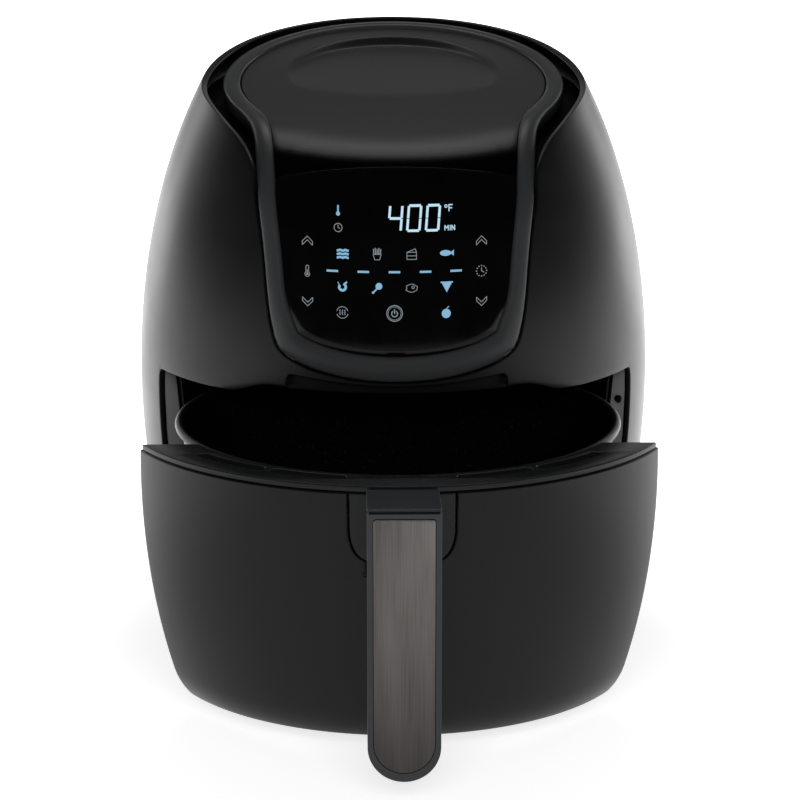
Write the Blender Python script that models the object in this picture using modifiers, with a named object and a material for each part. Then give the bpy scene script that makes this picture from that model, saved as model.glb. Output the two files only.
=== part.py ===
"""Basket air fryer: egg-shaped housing, touch panel, pull-out drawer with a round pan.

Metres, +Z up, front towards -Y.  The drawer stands pulled out by DRAWER_OUT, as when it is
being emptied.  Three empties carry the pieces: the housing axis, the fan axis and the drawer.
"""

import math

import bmesh
import bpy
from mathutils import Matrix, Vector

# ---- driving dimensions of the housing, measured from its upright axis ----
BODY_RADIUS = 0.145        # widest radius of the egg
WAIST_Z = 0.130            # height of the widest place
EGG_UP = 0.248             # half height of the egg above the waist
EGG_DOWN = 0.254           # half height of the egg below the waist
REAR_STRETCH = 1.15        # the back is this much deeper than a circle
EDGE_TOP_Z = 0.024         # the rounded bottom edge starts here
SHELL_BOTTOM_Z = 0.006
EDGE_INSET = 0.0095        # how far the bottom edge is drawn in
SHELL_WALL = 0.0025
GAP = 0.0004               # clearance between neighbouring pieces

# ---- drawer opening ----
OPENING_Y = -0.0625        # upright plane where housing and drawer part
OPENING_SIDE_Z = 0.1442    # top edge of the opening at its sides
OPENING_RISE = 0.0063      # how much higher the top edge is in the middle
RISE_START = 0.0915        # half width where the top edge starts to rise
RISE_WIDTH = 0.0240
NOTCH_HALF_WIDTH = 0.0585  # notch in the top edge, over the lintel
DRAWER_OUT = 0.1527

# ---- lid: a shallow dome on a tilted plane, rounded into the front of the egg ----
LID_Z = 0.294
LID_SLOPE = 0.225
LID_CROWN = 0.004
LID_RADIUS = 0.096
LID_CENTRE_Y = 0.002
LID_BLEND = 0.032
LID_FAN = Vector((0.0, -0.020, 0.180))   # origin of the fan of rays that meets the lid
BODY_TOP_LIMIT = WAIST_Z + EGG_UP * 0.98
BAND_WIDTH = 0.010
BAND_WIDENING = 0.0032     # extra width of the band under the control panel
BAND_PROUD = 0.0014
BAND_DEPTH = 0.0075
PANEL_SINK = 0.0008
PANEL_GAP = 0.0010          # between the band and the control panel
COVER_GAP = 0.0024          # between the band and the thick edge of the cover
COVER_WALL = 0.0085
PANEL_WALL = 0.003
PANEL_TOP_TURN = math.radians(45.0)
RECESS_RADIUS = 0.0605
RECESS_CENTRE = Vector((0.0, 0.010, 0.2969))
RECESS_SLOPE = 0.168

# ---- cooking chamber ----
PAN_CENTRE_Y = -0.0067
PAN_RIM_RADIUS = 0.116
PAN_RIM_Z = 0.142
PAN_BOTTOM_Z = 0.0365
PAN_BOTTOM_RADIUS = 0.096
PAN_WALL = 0.0015
FLOOR_Z = 0.0307
LINER_BOTTOM = (0.111, 0.0312)   # half width, height
LINER_TOP = (0.1205, 0.146)
LINER_FRONT_Y = -0.058
CHAMBER_RADIUS = 0.105
CHAMBER_BOTTOM_Z = 0.1485
CHAMBER_TOP_Z = 0.223
SHEET = 0.001
GUARD_TOP_Z = 0.1710
ELEMENT_Z = 0.185
ELEMENT_RADII = (0.078, 0.096)
ELEMENT_TUBE = 0.0032
ELEMENT_POINTS = 44
ELEMENT_TOP_Z = 0.232

# ---- fans, motor and electronics ----
FAN_BORE = 0.0043
HUB_RADIUS = 0.010
BLADE_ROOT = 0.020         # radius where the fan blades start
SHAFT_RADIUS = 0.0040
BOARD_LEAN = math.radians(13.5)
BOARD_THICKNESS = 0.0016
SWITCH_X = 0.1243
SWITCH_Z = 0.1250

# ---- drawer ----
DRAWER_BOTTOM_Z = 0.009
DECK_TOP_Z = 0.143
DECK_THICKNESS = 0.003
DECK_REAR_Y = -0.0655
FRONT_WALL = 0.003
HANDLE_TOP_Z = 0.147
HANDLE_BOTTOM_Z = 0.0143
HANDLE_FRONT_Y = -0.1965
HANDLE_HALF_WIDTH = 0.0172
HANDLE_THICKNESS = 0.017
INLAY_HALF_WIDTH = 0.0146
INLAY_TOP_Z = 0.1428
INLAY_BOTTOM_Z = 0.0185
TRAY_Z = 0.0520
TRAY_RADIUS = 0.090
HANDLE_SCREW_Y = -0.1380
HANDLE_SCREW_Z = 0.134

# ---- overall placing: the origin is under the middle of the whole object ----
CORD_INLET_Y = 0.1640      # outer face of the cord inlet's flange
REAR_Y = CORD_INLET_Y + 0.010
FRONT_Y = HANDLE_FRONT_Y - DRAWER_OUT
AXIS_Y = -(REAR_Y + FRONT_Y) / 2.0

STEPS = 48                 # facets round a full turn


def clear_scene():
    """Remove whatever the scene holds."""
    for obj in list(bpy.data.objects):
        bpy.data.objects.remove(obj, do_unlink=True)


def new_collection(name):
    """Make a collection under the scene's own."""
    group = bpy.data.collections.new(name)
    bpy.context.scene.collection.children.link(group)
    return group


def finish(name, colour, roughness, metallic=0.0):
    """Make a plain Principled material."""
    mat = bpy.data.materials.new(name)
    mat.use_nodes = True
    shader = mat.node_tree.nodes["Principled BSDF"]
    shader.inputs["Base Color"].default_value = (*colour, 1.0)
    shader.inputs["Roughness"].default_value = roughness
    shader.inputs["Metallic"].default_value = metallic
    return mat


def add_empty(name, y):
    """An empty on the axis that a group of pieces is built round."""
    empty = bpy.data.objects.new(name, None)
    empty.location = (0.0, y, 0.0)
    PARTS.objects.link(empty)
    return empty


def add_object(name, data, mat, parent, location=(0.0, 0.0, 0.0)):
    """Link data as a named piece, or as a cutter when it has no material."""
    obj = bpy.data.objects.new(name, data)
    obj.location = location
    obj.parent = parent
    if mat is None:
        CUTTERS.objects.link(obj)
        obj.hide_render = True
        obj.display_type = 'WIRE'
    else:
        data.materials.append(mat)
        PARTS.objects.link(obj)
    return obj


def mesh_from(bm, name):
    """Turn a bmesh into a smooth-shaded mesh."""
    mesh = bpy.data.meshes.new(name)
    bm.to_mesh(mesh)
    bm.free()
    mesh.shade_smooth()
    mesh.set_sharp_from_angle(angle=math.radians(35.0))
    return mesh


def box(name, size, centre, mat, parent, turn=None):
    """A box of the given size, optionally turned by a matrix about its centre."""
    bm = bmesh.new()
    bmesh.ops.create_cube(bm, size=1.0)
    bmesh.ops.scale(bm, vec=size, verts=bm.verts)
    if turn is not None:
        bmesh.ops.transform(bm, matrix=turn, verts=bm.verts)
    return add_object(name, mesh_from(bm, name), mat, parent, centre)


def rod(name, radius, low, high, mat, parent, sides=16, top_radius=None):
    """A cylinder or cone from the point low to the point high."""
    low = Vector(low)
    high = Vector(high)
    axis = high - low
    bm = bmesh.new()
    bmesh.ops.create_cone(bm, cap_ends=True, segments=sides, radius1=radius,
                          radius2=radius if top_radius is None else top_radius, depth=axis.length)
    turn = Vector((0.0, 0.0, 1.0)).rotation_difference(axis).to_matrix().to_4x4()
    bmesh.ops.transform(bm, matrix=turn, verts=bm.verts)
    return add_object(name, mesh_from(bm, name), mat, parent, (low + high) / 2.0)


def turned(name, profile, mat, parent, location=(0.0, 0.0, 0.0), steps=STEPS):
    """A solid of revolution: a closed profile of (radius, height) with a Screw modifier."""
    bm = bmesh.new()
    verts = [bm.verts.new((radius, 0.0, height)) for radius, height in profile]
    for here, there in zip(verts, verts[1:] + verts[:1]):
        bm.edges.new((here, there))
    mesh = bpy.data.meshes.new(name)
    bm.to_mesh(mesh)
    bm.free()
    obj = add_object(name, mesh, mat, parent, location)
    screw = obj.modifiers.new("Turn", 'SCREW')
    screw.steps = steps
    screw.render_steps = steps
    screw.use_merge_vertices = True
    screw.merge_threshold = 0.00001
    return obj


def patch(name, rows, mat, parent, thickness, inside, location=(0.0, 0.0, 0.0), mirror=False):
    """An open surface lofted through rows of points, thickened inwards with Solidify."""
    bm = bmesh.new()
    grid = [[bm.verts.new(point) for point in row] for row in rows]
    for lower, upper in zip(grid, grid[1:]):
        for k in range(len(lower) - 1):
            bm.faces.new((lower[k], lower[k + 1], upper[k + 1], upper[k]))
    return surface(name, bm, mat, parent, thickness, inside, location, mirror)


def surface(name, bm, mat, parent, thickness, inside, location=(0.0, 0.0, 0.0), mirror=False):
    """Close the seams of an open surface, face it away from inside and thicken it."""
    bmesh.ops.remove_doubles(bm, verts=bm.verts, dist=0.00001)
    bmesh.ops.recalc_face_normals(bm, faces=bm.faces)
    bm.faces.ensure_lookup_table()
    big = max(bm.faces, key=lambda face: face.calc_area())
    if big.normal.dot(big.calc_center_median() - Vector(inside)) < 0.0:
        bmesh.ops.reverse_faces(bm, faces=bm.faces)
    obj = add_object(name, mesh_from(bm, name), mat, parent, location)
    if mirror:
        half = obj.modifiers.new("Other half", 'MIRROR')
        half.merge_threshold = 0.0001
    wall = obj.modifiers.new("Wall", 'SOLIDIFY')
    wall.thickness = thickness
    wall.offset = -1.0
    return obj


def plate(name, outline, thickness, mat, parent, location=(0.0, 0.0, 0.0), holes=(), upright=False):
    """A flat outline with holes, extruded; upright stands it in the XZ plane."""
    curve = bpy.data.curves.new(name, 'CURVE')
    curve.dimensions = '2D'
    curve.fill_mode = 'BOTH'
    curve.extrude = thickness / 2.0
    for loop in (outline, *holes):
        spline = curve.splines.new('POLY')
        spline.points.add(len(loop) - 1)
        for point, (x, y) in zip(spline.points, loop):
            point.co = (x, y, 0.0, 1.0)
        spline.use_cyclic_u = True
    flat = bpy.data.objects.new(name + "_outline", curve)
    PARTS.objects.link(flat)
    bpy.context.view_layer.update()
    mesh = bpy.data.meshes.new_from_object(flat.evaluated_get(bpy.context.evaluated_depsgraph_get()))
    bpy.data.objects.remove(flat, do_unlink=True)
    bm = bmesh.new()
    bm.from_mesh(mesh)
    bmesh.ops.remove_doubles(bm, verts=bm.verts, dist=0.000001)
    if upright:
        bmesh.ops.rotate(bm, matrix=Matrix.Rotation(math.radians(90.0), 3, 'X'), verts=bm.verts)
    mesh.materials.clear()
    bm.to_mesh(mesh)
    bm.free()
    return add_object(name, mesh, mat, parent, location)


def cut(target, *cutters, operation='DIFFERENCE'):
    """Boolean the cutters with the target, one modifier each."""
    for cutter in cutters:
        boolean = target.modifiers.new(cutter.name, 'BOOLEAN')
        boolean.operation = operation
        boolean.solver = 'EXACT'
        boolean.object = cutter
    return target


def circle(radius, centre=(0.0, 0.0), sides=STEPS, start=0.0, end=360.0):
    """Points round a circle, or along an arc when the angles don't close it."""
    count = sides if end - start >= 360.0 else sides + 1
    angles = [math.radians(start + (end - start) * k / sides) for k in range(count)]
    return [(centre[0] + radius * math.cos(a), centre[1] + radius * math.sin(a)) for a in angles]


def spread(low, high, count):
    """Evenly spaced values, both ends included."""
    return [low + (high - low) * k / (count - 1) for k in range(count)]


def smooth_line(anchors, cuts):
    """Catmull-Rom line through anchors, with cuts extra points in every span."""
    padded = [anchors[0], *anchors, anchors[-1]]
    line = []
    for a, b, c, d in zip(padded, padded[1:], padded[2:], padded[3:]):
        for k in range(cuts + 1):
            t = k / (cuts + 1)
            line.append(tuple(0.5 * (2 * q + (r - p) * t + (2 * p - 5 * q + 4 * r - s) * t * t
                                     + (3 * q - p - 3 * r + s) * t ** 3)
                              for p, q, r, s in zip(a, b, c, d)))
    line.append(tuple(anchors[-1]))
    return line


# ---- the egg ----

def egg_radius(z):
    """Radius of the housing at height z, with its rounded bottom edge."""
    half = EGG_UP if z > WAIST_Z else EGG_DOWN
    radius = BODY_RADIUS * math.sqrt(1.0 - ((z - WAIST_Z) / half) ** 2)
    if z < EDGE_TOP_Z:
        drop = min(1.0, (EDGE_TOP_Z - z) / (EDGE_TOP_Z - SHELL_BOTTOM_Z))
        radius -= EDGE_INSET * (1.0 - math.sqrt(1.0 - 0.96 * drop * drop))
    return radius


def egg_point(turn, z, inset=0.0):
    """Point on the egg at a plan angle from the front; the back half is stretched."""
    radius = egg_radius(z) - inset
    y = -radius * math.cos(turn)
    if y > 0.0:
        y *= REAR_STRETCH
    return Vector((radius * math.sin(turn), y, z))


def opening_turn(z, y=OPENING_Y, inset=0.0):
    """Plan angle where the upright plane y meets the egg at height z."""
    return math.acos(-y / (egg_radius(z) - inset))


# ---- the lid surface ----

def lid_gap(x, y, z):
    """Signed distance-like value: zero on the lid, negative inside the housing."""
    top = LID_Z + LID_SLOPE * y + LID_CROWN * (1.0 - (x * x + y * y) / LID_RADIUS ** 2)
    above = z - top
    reach = egg_radius(z) ** 2 - x * x
    ahead = -y - math.sqrt(max(reach, 0.0))
    if above < -LID_BLEND and ahead < -LID_BLEND:
        return max(above, ahead)
    return math.hypot(max(above + LID_BLEND, 0.0), max(ahead + LID_BLEND, 0.0)) - LID_BLEND


def lid_point(x, turn, sink=0.0):
    """Point on the lid at half width x, on the ray that leans forward by turn."""
    step = Vector((0.0, -math.sin(turn), math.cos(turn)))
    near, far = 0.0, 0.20
    for _ in range(40):
        middle = (near + far) / 2.0
        y, z = LID_FAN.y + step.y * middle, LID_FAN.z + step.z * middle
        if z < BODY_TOP_LIMIT and lid_gap(x, y, z) < 0.0:
            near = middle
        else:
            far = middle
    return Vector((x, LID_FAN.y, LID_FAN.z)) + step * near - lid_normal(x, turn, near) * sink


def lid_normal(x, turn, reach):
    """Outward normal of the lid where the ray meets it."""
    y = LID_FAN.y - math.sin(turn) * reach
    z = LID_FAN.z + math.cos(turn) * reach
    d = 0.0005
    return Vector((lid_gap(x + d, y, z) - lid_gap(x - d, y, z),
                   lid_gap(x, y + d, z) - lid_gap(x, y - d, z),
                   lid_gap(x, y, z + d) - lid_gap(x, y, z - d))).normalized()


def top_turn(x, y):
    """Lean of the ray that meets the top of the lid over (x, y)."""
    z = LID_Z + LID_SLOPE * y + LID_CROWN * (1.0 - (x * x + y * y) / LID_RADIUS ** 2)
    return math.atan2(LID_FAN.y - y, z - LID_FAN.z)


def front_turn(x, z):
    """Lean of the ray that meets the front of the lid at (x, z)."""
    y = -math.sqrt(egg_radius(z) ** 2 - x * x)
    return math.atan2(LID_FAN.y - y, z - LID_FAN.z)


def band_outline(cuts):
    """Right half of the lid band's outer edge as (half width, turn), back to front."""
    line = []
    for angle in spread(90.0, -27.0, 12):
        x = LID_RADIUS * math.cos(math.radians(angle))
        y = LID_CENTRE_Y + LID_RADIUS * math.sin(math.radians(angle))
        line.append((x, top_turn(x, y)))
    neck = [line[-1], (0.0775, top_turn(0.0775, -0.066)), (0.0742, front_turn(0.0742, 0.258))]
    front = [(0.0737, 0.247), (0.0717, 0.231), (0.0701, 0.216), (0.0685, 0.1975), (0.0664, 0.1830),
             (0.0622, 0.1712), (0.0512, 0.1640), (0.0354, 0.1592), (0.0180, 0.1566), (0.0, 0.1558)]
    neck += [(x, front_turn(x, z)) for x, z in front]
    return line[:-1] + smooth_line(neck, cuts)


def band_frames(outline):
    """Outer edge points of the band with their inward and outward directions."""
    points = [lid_point(x, turn) for x, turn in outline]
    frames = []
    for k, (x, turn) in enumerate(outline):
        before = points[k - 1] if k else mirrored(points[1])
        after = points[k + 1] if k + 1 < len(points) else mirrored(points[-2])
        along = (after - before).normalized()
        reach = (points[k] - Vector((x, LID_FAN.y, LID_FAN.z))).length
        normal = lid_normal(x, turn, reach)
        inward = normal.cross(along).normalized()
        if inward.dot(Vector((0.0, -0.030, 0.290)) - points[k]) < 0.0:
            inward.negate()
        if k in (0, len(outline) - 1):
            inward.x = 0.0
        frames.append((points[k], inward.normalized(), normal))
    return frames


def smooth_step(share):
    """Ease from 0 to 1 as share goes from 0 to 1."""
    share = min(1.0, max(0.0, share))
    return share * share * (3.0 - 2.0 * share)


def band_width(z):
    """Width of the band at height z: it widens round the foot of the control panel."""
    return BAND_WIDTH + BAND_WIDENING * smooth_step((0.202 - z) / 0.028)


def mirrored(point):
    """The point's image across the middle plane."""
    return Vector((-point.x, point.y, point.z))


def inner_outline(frames, gap):
    """The line that lies gap inside the band's inner edge, as (half width, turn)."""
    line = []
    for point, inward, _ in frames:
        spot = point + inward * (band_width(point.z) + gap)
        line.append((max(spot.x, 0.0), math.atan2(LID_FAN.y - spot.y, spot.z - LID_FAN.z)))
    line[0] = (0.0, line[0][1])
    line[-1] = (0.0, line[-1][1])
    return line


def band_section(z):
    """Section of the band at height z as (distance inwards, height over the lid)."""
    width, edge = band_width(z), 0.0012
    return ((0.0, -BAND_DEPTH), (0.0, BAND_PROUD - edge), (edge, BAND_PROUD),
            (width - edge, BAND_PROUD), (width, BAND_PROUD - edge), (width, -BAND_DEPTH))


def lid_fill(line, sink, columns):
    """Rows of points that fill the lid between a line and its mirror image."""
    return [[lid_point(x * side, turn, sink) for side in spread(-1.0, 1.0, columns)]
            for x, turn in line]


def shell_edge():
    """Top edge of the housing as (plan angle, height), from the front middle to the back."""
    tongue = ((0.0, 0.1549), (0.0180, 0.1557), (0.0356, 0.1583), (0.0518, 0.1631), (0.0631, 0.1706),
              (0.0673, 0.1828), (0.0694, 0.1975), (0.0710, 0.216), (0.0728, 0.231), (0.0754, 0.247))
    line = [(math.asin(x / egg_radius(z)), z) for x, z in tongue]
    collar = [(38.4, 0.262), (45.0, 0.2747), (54.1, 0.2826), (64.4, 0.2886), (77.0, 0.2936),
              (90.0, 0.2985), (105.0, 0.3048), (120.0, 0.3100), (135.0, 0.3138), (150.0, 0.3165),
              (165.0, 0.3180), (180.0, 0.3185)]
    return line + [(math.radians(angle), z) for angle, z in collar]


def opening_top(turn):
    """Height of the opening's top edge, which is raised in the middle."""
    x = egg_radius(OPENING_SIDE_Z) * math.sin(turn)
    return OPENING_SIDE_Z + OPENING_RISE * smooth_step((RISE_START - x) / RISE_WIDTH)


def notch_outline():
    """Front outline of the notch over the lintel: a sagging top edge with rounded ends."""
    end = NOTCH_HALF_WIDTH
    right = [(end, 0.1480), (end, 0.1555), (end - 0.001, 0.1566), (end - 0.003, 0.1572)]
    right += [(x, 0.1534 + 0.0040 * (x / 0.056) ** 2) for x in (0.048, 0.036, 0.024, 0.012)]
    return right + [(0.0, 0.1534)] + [(-x, z) for x, z in right[::-1]]


# ---- housing ----

def build_shell():
    """Outer shell: a half surface mirrored, thickened and pierced."""
    edge = shell_edge()
    corner = OPENING_SIDE_Z
    first = min(range(len(edge)), key=lambda k: abs(edge[k][0] - opening_turn(corner)))
    edge[first] = (opening_turn(corner), edge[first][1])
    bm = bmesh.new()
    columns = []
    for turn, top in edge:
        heights = [top + (opening_top(turn) - top) * k / 6 for k in range(7)]
        columns.append([bm.verts.new(egg_point(turn, z)) for z in heights])
    for left, right in zip(columns, columns[1:]):
        for k in range(6):
            bm.faces.new((left[k], right[k], right[k + 1], left[k + 1]))
    lower = []
    start = edge[first][0]
    for turn, _ in edge[first:]:
        share = (math.pi - turn) / (math.pi - start)
        column = []
        for z in (corner, 0.122, 0.096, 0.070, 0.045, EDGE_TOP_Z, 0.013, 0.0085, SHELL_BOTTOM_Z):
            angle = math.pi - share * (math.pi - opening_turn(z))
            column.append(bm.verts.new(egg_point(angle, z)))
        lower.append(column)
    for left, right in zip(lower, lower[1:]):
        for k in range(len(left) - 1):
            bm.faces.new((left[k], right[k], right[k + 1], left[k + 1]))
    shell = surface("outer_shell", bm, BLACK_SHELL, HOUSING, SHELL_WALL, (0.0, 0.0, WAIST_Z),
                    mirror=True)
    notch = plate("notch_cutter", notch_outline(), 0.050, None, HOUSING, (0.0, -0.145, 0.0),
                  upright=True)
    vent = box("vent_cutter", (0.084, 0.060, 0.060), (0.0, 0.160, 0.205), None, HOUSING)
    inlet = rod("inlet_cutter", 0.0085, (0.0, 0.130, 0.045), (0.0, 0.180, 0.045), None, HOUSING)
    cut(shell, notch, vent, inlet)


def build_lid():
    """Band, cover and control panel of the lid, and the air inlet ring under the band."""
    outline = band_outline(0)
    frames = band_frames(outline)
    half = [[point + inward * across + normal * up for across, up in band_section(point.z)]
            for point, inward, normal in frames]
    rows = half + [[mirrored(point) for point in row] for row in half[-2:0:-1]]
    bm = bmesh.new()
    rings = [[bm.verts.new(point) for point in row] for row in rows]
    for here, there in zip(rings, rings[1:] + rings[:1]):
        for k, here_vert in enumerate(here):
            after = (k + 1) % len(here)
            bm.faces.new((here_vert, here[after], there[after], there[k]))
    bmesh.ops.recalc_face_normals(bm, faces=bm.faces)
    add_object("top_trim", mesh_from(bm, "top_trim"), SATIN_TRIM, HOUSING)

    line = inner_outline(frames, PANEL_GAP)
    split = next(k for k, (_, turn) in enumerate(line) if turn > PANEL_TOP_TURN)
    cover_line = inner_outline(frames, COVER_GAP)[:split]
    cover_line.append((cover_line[-1][0], line[split][1] - 0.009))
    cover = patch("top_cover", lid_fill(cover_line, PANEL_SINK, 9), MATT_COVER,
                  HOUSING, COVER_WALL, (0.0, -0.03, 0.20))
    tilt = Matrix.Rotation(math.atan(RECESS_SLOPE), 4, 'X')
    bm = bmesh.new()
    bmesh.ops.create_cone(bm, cap_ends=True, segments=STEPS, radius1=RECESS_RADIUS,
                          radius2=RECESS_RADIUS, depth=0.030)
    bmesh.ops.translate(bm, vec=(0.0, 0.0, 0.015), verts=bm.verts)
    bmesh.ops.transform(bm, matrix=tilt, verts=bm.verts)
    recess = add_object("recess_cutter", mesh_from(bm, "recess_cutter"), None, HOUSING, RECESS_CENTRE)
    cut(cover, recess)
    patch("control_panel", lid_fill(line[split:], PANEL_SINK, 9), GLASS_PANEL, HOUSING,
          PANEL_WALL, (0.0, -0.03, 0.20))

    ring = []
    for (point, inward, normal), (angle, top) in inlet_stations(frames):
        inner = point + inward * 0.006 - normal * (BAND_DEPTH + 0.0055)
        outer = egg_point(angle, top - 0.016, SHELL_WALL + 0.0012)
        ring.append([outer, inner])
    ring += [[mirrored(point) for point in row] for row in ring[-2::-1]]
    patch("inlet_ring", ring, DARK_PLASTIC, HOUSING, 0.002, (0.0, 0.0, 0.10))


def inlet_stations(frames):
    """Pair the band's rear stations with places on the housing's collar, front to back."""
    collar = [pair for pair in shell_edge() if pair[0] > math.radians(44.0)]
    pairs = []
    for angle, top in collar:
        aim = egg_point(angle, top)
        frame = min(frames[:14], key=lambda item: (item[0].xy - aim.xy).length)
        pairs.append((frame, (angle, top)))
    return pairs


def build_opening():
    """Jambs and lintel round the drawer opening."""
    for side, name in ((-1.0, "jamb_left"), (1.0, "jamb_right")):
        rows = []
        for z in (0.0315, 0.055, 0.080, 0.105, 0.130, 0.1425):
            outer = math.sqrt((egg_radius(z) - SHELL_WALL - 0.0010) ** 2 - 0.0603 ** 2)
            inner = liner_half_width(z) + 0.0016
            rows.append([Vector((side * inner, -0.0603, z)), Vector((side * outer, -0.0603, z))])
        jamb = patch(name, rows, DARK_PLASTIC, HOUSING, 0.008, (0.0, 0.10, 0.09))
        if side > 0.0:
            cut(jamb, rod("plunger_cutter", 0.0021, (SWITCH_X, -0.070, SWITCH_Z),
                          (SWITCH_X, -0.045, SWITCH_Z), None, HOUSING, sides=12))
    rows = [[egg_point(turn, z, 0.0095) for turn in spread(-1.02, 1.02, 17)]
            for z in (0.1485, 0.1600)]
    patch("opening_lintel", rows, DARK_PLASTIC, HOUSING, 0.0025, (0.0, 0.0, 0.15))


def liner_half_width(z):
    """Half width of the bay liner at height z."""
    share = (z - LINER_BOTTOM[1]) / (LINER_TOP[1] - LINER_BOTTOM[1])
    return LINER_BOTTOM[0] + share * (LINER_TOP[0] - LINER_BOTTOM[0])


def bay_outline(half_width, front_y=LINER_FRONT_Y):
    """Plan of the bay: straight sides and a round back, as an open line."""
    back = circle(half_width, (0.0, PAN_CENTRE_Y), 20, 0.0, 180.0)
    return [(half_width, front_y), *back, (-half_width, front_y)]


def build_bay():
    """Metal liner, floor and the rails the drawer runs on."""
    rows = [[Vector((x, y, z)) for x, y in bay_outline(half)] for half, z in (LINER_BOTTOM, LINER_TOP)]
    patch("bay_liner", rows, ENAMELLED, HOUSING, SHEET, (0.0, 0.0, 0.09))
    plate("bay_floor", bay_outline(LINER_BOTTOM[0] + 0.003), 0.0012, ENAMELLED, HOUSING,
          (0.0, 0.0, FLOOR_Z - 0.0006))
    for side, name in ((-1.0, "rail_left"), (1.0, "rail_right")):
        box(name, (0.006, 0.134, 0.0046), (side * 0.050, 0.012, FLOOR_Z + 0.0027), DARK_PLASTIC,
            HOUSING)


def build_chamber():
    """Heating chamber with its element, guard, brackets and sensors, on the pan's axis."""
    low, high, wall = CHAMBER_BOTTOM_Z, CHAMBER_TOP_Z, CHAMBER_RADIUS
    chamber = turned("heating_chamber",
                     [(0.012, high), (wall, high), (wall, low + SHEET), (0.119, low + SHEET),
                      (0.119, low), (wall - SHEET, low), (wall - SHEET, high - SHEET),
                      (0.012, high - SHEET)], GALVANISED, FAN_AXIS)
    outlet = box("outlet_cutter", (0.056, 0.030, 0.022), (0.0, 0.104, 0.201), None, FAN_AXIS)
    lead_holes = [rod("lead_cutter_" + str(k), 0.0046, (x, y, 0.215), (x, y, 0.230), None, FAN_AXIS,
                      sides=12) for k, (x, y) in enumerate(element_ends())]
    cut(chamber, outlet, *lead_holes)

    guard = turned("heater_guard", [(0.018, GUARD_TOP_Z), (0.101, GUARD_TOP_Z),
                                    (0.101, GUARD_TOP_Z - SHEET), (0.018, GUARD_TOP_Z - SHEET)],
                   STEEL, FAN_AXIS, steps=32)
    for k in range(8):
        angle = math.radians(45.0 * k)
        x, y = 0.062 * math.cos(angle), 0.062 * math.sin(angle)
        cut(guard, rod("guard_cutter_" + str(k), 0.019, (x, y, 0.160), (x, y, 0.180), None, FAN_AXIS,
                       sides=12))

    turns = [ELEMENT_RADII[0] + (ELEMENT_RADII[1] - ELEMENT_RADII[0]) * k / ELEMENT_POINTS
             for k in range(ELEMENT_POINTS + 1)]
    route = [(radius * math.cos(2 * math.tau * k / ELEMENT_POINTS),
              radius * math.sin(2 * math.tau * k / ELEMENT_POINTS), ELEMENT_Z)
             for k, radius in enumerate(turns)]
    start, end = element_ends()
    route = [(*start, ELEMENT_TOP_Z), (*start, ELEMENT_Z + 0.006), *route[1:-1],
             (*end, ELEMENT_Z + 0.006), (*end, ELEMENT_TOP_Z)]
    tube("heating_element", route, ELEMENT_TUBE, HEATER, FAN_AXIS)
    for k, angle in enumerate((60.0, 240.0), start=1):
        turn = Matrix.Rotation(math.radians(angle), 4, 'Z')
        box("heater_bracket_" + str(k), (0.022, 0.004, 0.0290),
            turn @ Vector((0.087, 0.0, 0.2060)), STEEL, FAN_AXIS, turn)
    rod("temperature_sensor", 0.0028, (0.0, 0.094, 0.2000), (0.0, 0.094, 0.2215), STEEL, FAN_AXIS,
        sides=10)
    rod("thermal_cutout", 0.008, (-0.075, 0.020, 0.2235), (-0.075, 0.020, 0.2300), STEEL, FAN_AXIS)


def element_ends():
    """Plan places where the element's two ends go up through the chamber's roof."""
    return [(radius, 0.0) for radius in ELEMENT_RADII]


def tube(name, route, radius, mat, parent):
    """A round wire or tube along a route of points."""
    curve = bpy.data.curves.new(name, 'CURVE')
    curve.dimensions = '3D'
    curve.bevel_depth = radius
    curve.bevel_resolution = 2
    curve.use_fill_caps = True
    spline = curve.splines.new('POLY')
    spline.points.add(len(route) - 1)
    for point, place in zip(spline.points, route):
        point.co = (*place, 1.0)
    return add_object(name, curve, mat, parent)


def impeller(name, radius, hub_low, hub_high, disc_z, blades, blade_low, blade_high, mat):
    """A fan wheel: disc and hub turned in one, blades joined by a Boolean union."""
    top = disc_z + 0.0012
    profile = [(FAN_BORE, max(hub_high, top))]
    if hub_high > top:
        profile += [(HUB_RADIUS, hub_high), (HUB_RADIUS, top)]
    profile += [(radius, top), (radius, disc_z)]
    if hub_low < disc_z:
        profile += [(HUB_RADIUS, disc_z), (HUB_RADIUS, hub_low)]
    profile.append((FAN_BORE, min(hub_low, disc_z)))
    wheel = turned(name, profile, mat, FAN_AXIS, steps=32)
    bm = bmesh.new()
    tip = radius - 0.002
    for k in range(blades):
        blade = bmesh.ops.create_cube(bm, size=1.0)["verts"]
        bmesh.ops.scale(bm, vec=(tip - BLADE_ROOT, 0.0014, blade_high - blade_low), verts=blade)
        bmesh.ops.translate(bm, vec=((tip + BLADE_ROOT) / 2.0, 0.0, (blade_low + blade_high) / 2.0),
                            verts=blade)
        bmesh.ops.rotate(bm, cent=(0.0, 0.0, 0.0), verts=blade,
                         matrix=Matrix.Rotation(math.tau * k / blades, 3, 'Z'))
    vanes = add_object(name + "_vanes", mesh_from(bm, name + "_vanes"), None, FAN_AXIS)
    cut(wheel, vanes, operation='UNION')


def build_fan():
    """Everything on the motor shaft: both fans, the shaft and the nut."""
    impeller("convection_fan", 0.068, 0.2000, 0.2140, 0.2128, 8, 0.2010, 0.2134, STEEL)
    impeller("cooling_fan", 0.046, 0.2320, 0.2420, 0.2320, 9, 0.2326, 0.2440, DARK_PLASTIC)
    rod("motor_shaft", SHAFT_RADIUS, (0.0, 0.0, 0.1890), (0.0, 0.0, 0.2835), STEEL, FAN_AXIS)
    nut = rod("fan_nut", 0.0075, (0.0, 0.0, 0.1925), (0.0, 0.0, 0.1995), STEEL, FAN_AXIS, sides=6)
    cut(nut, rod("nut_cutter", FAN_BORE, (0.0, 0.0, 0.185), (0.0, 0.0, 0.205), None, FAN_AXIS))


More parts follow.
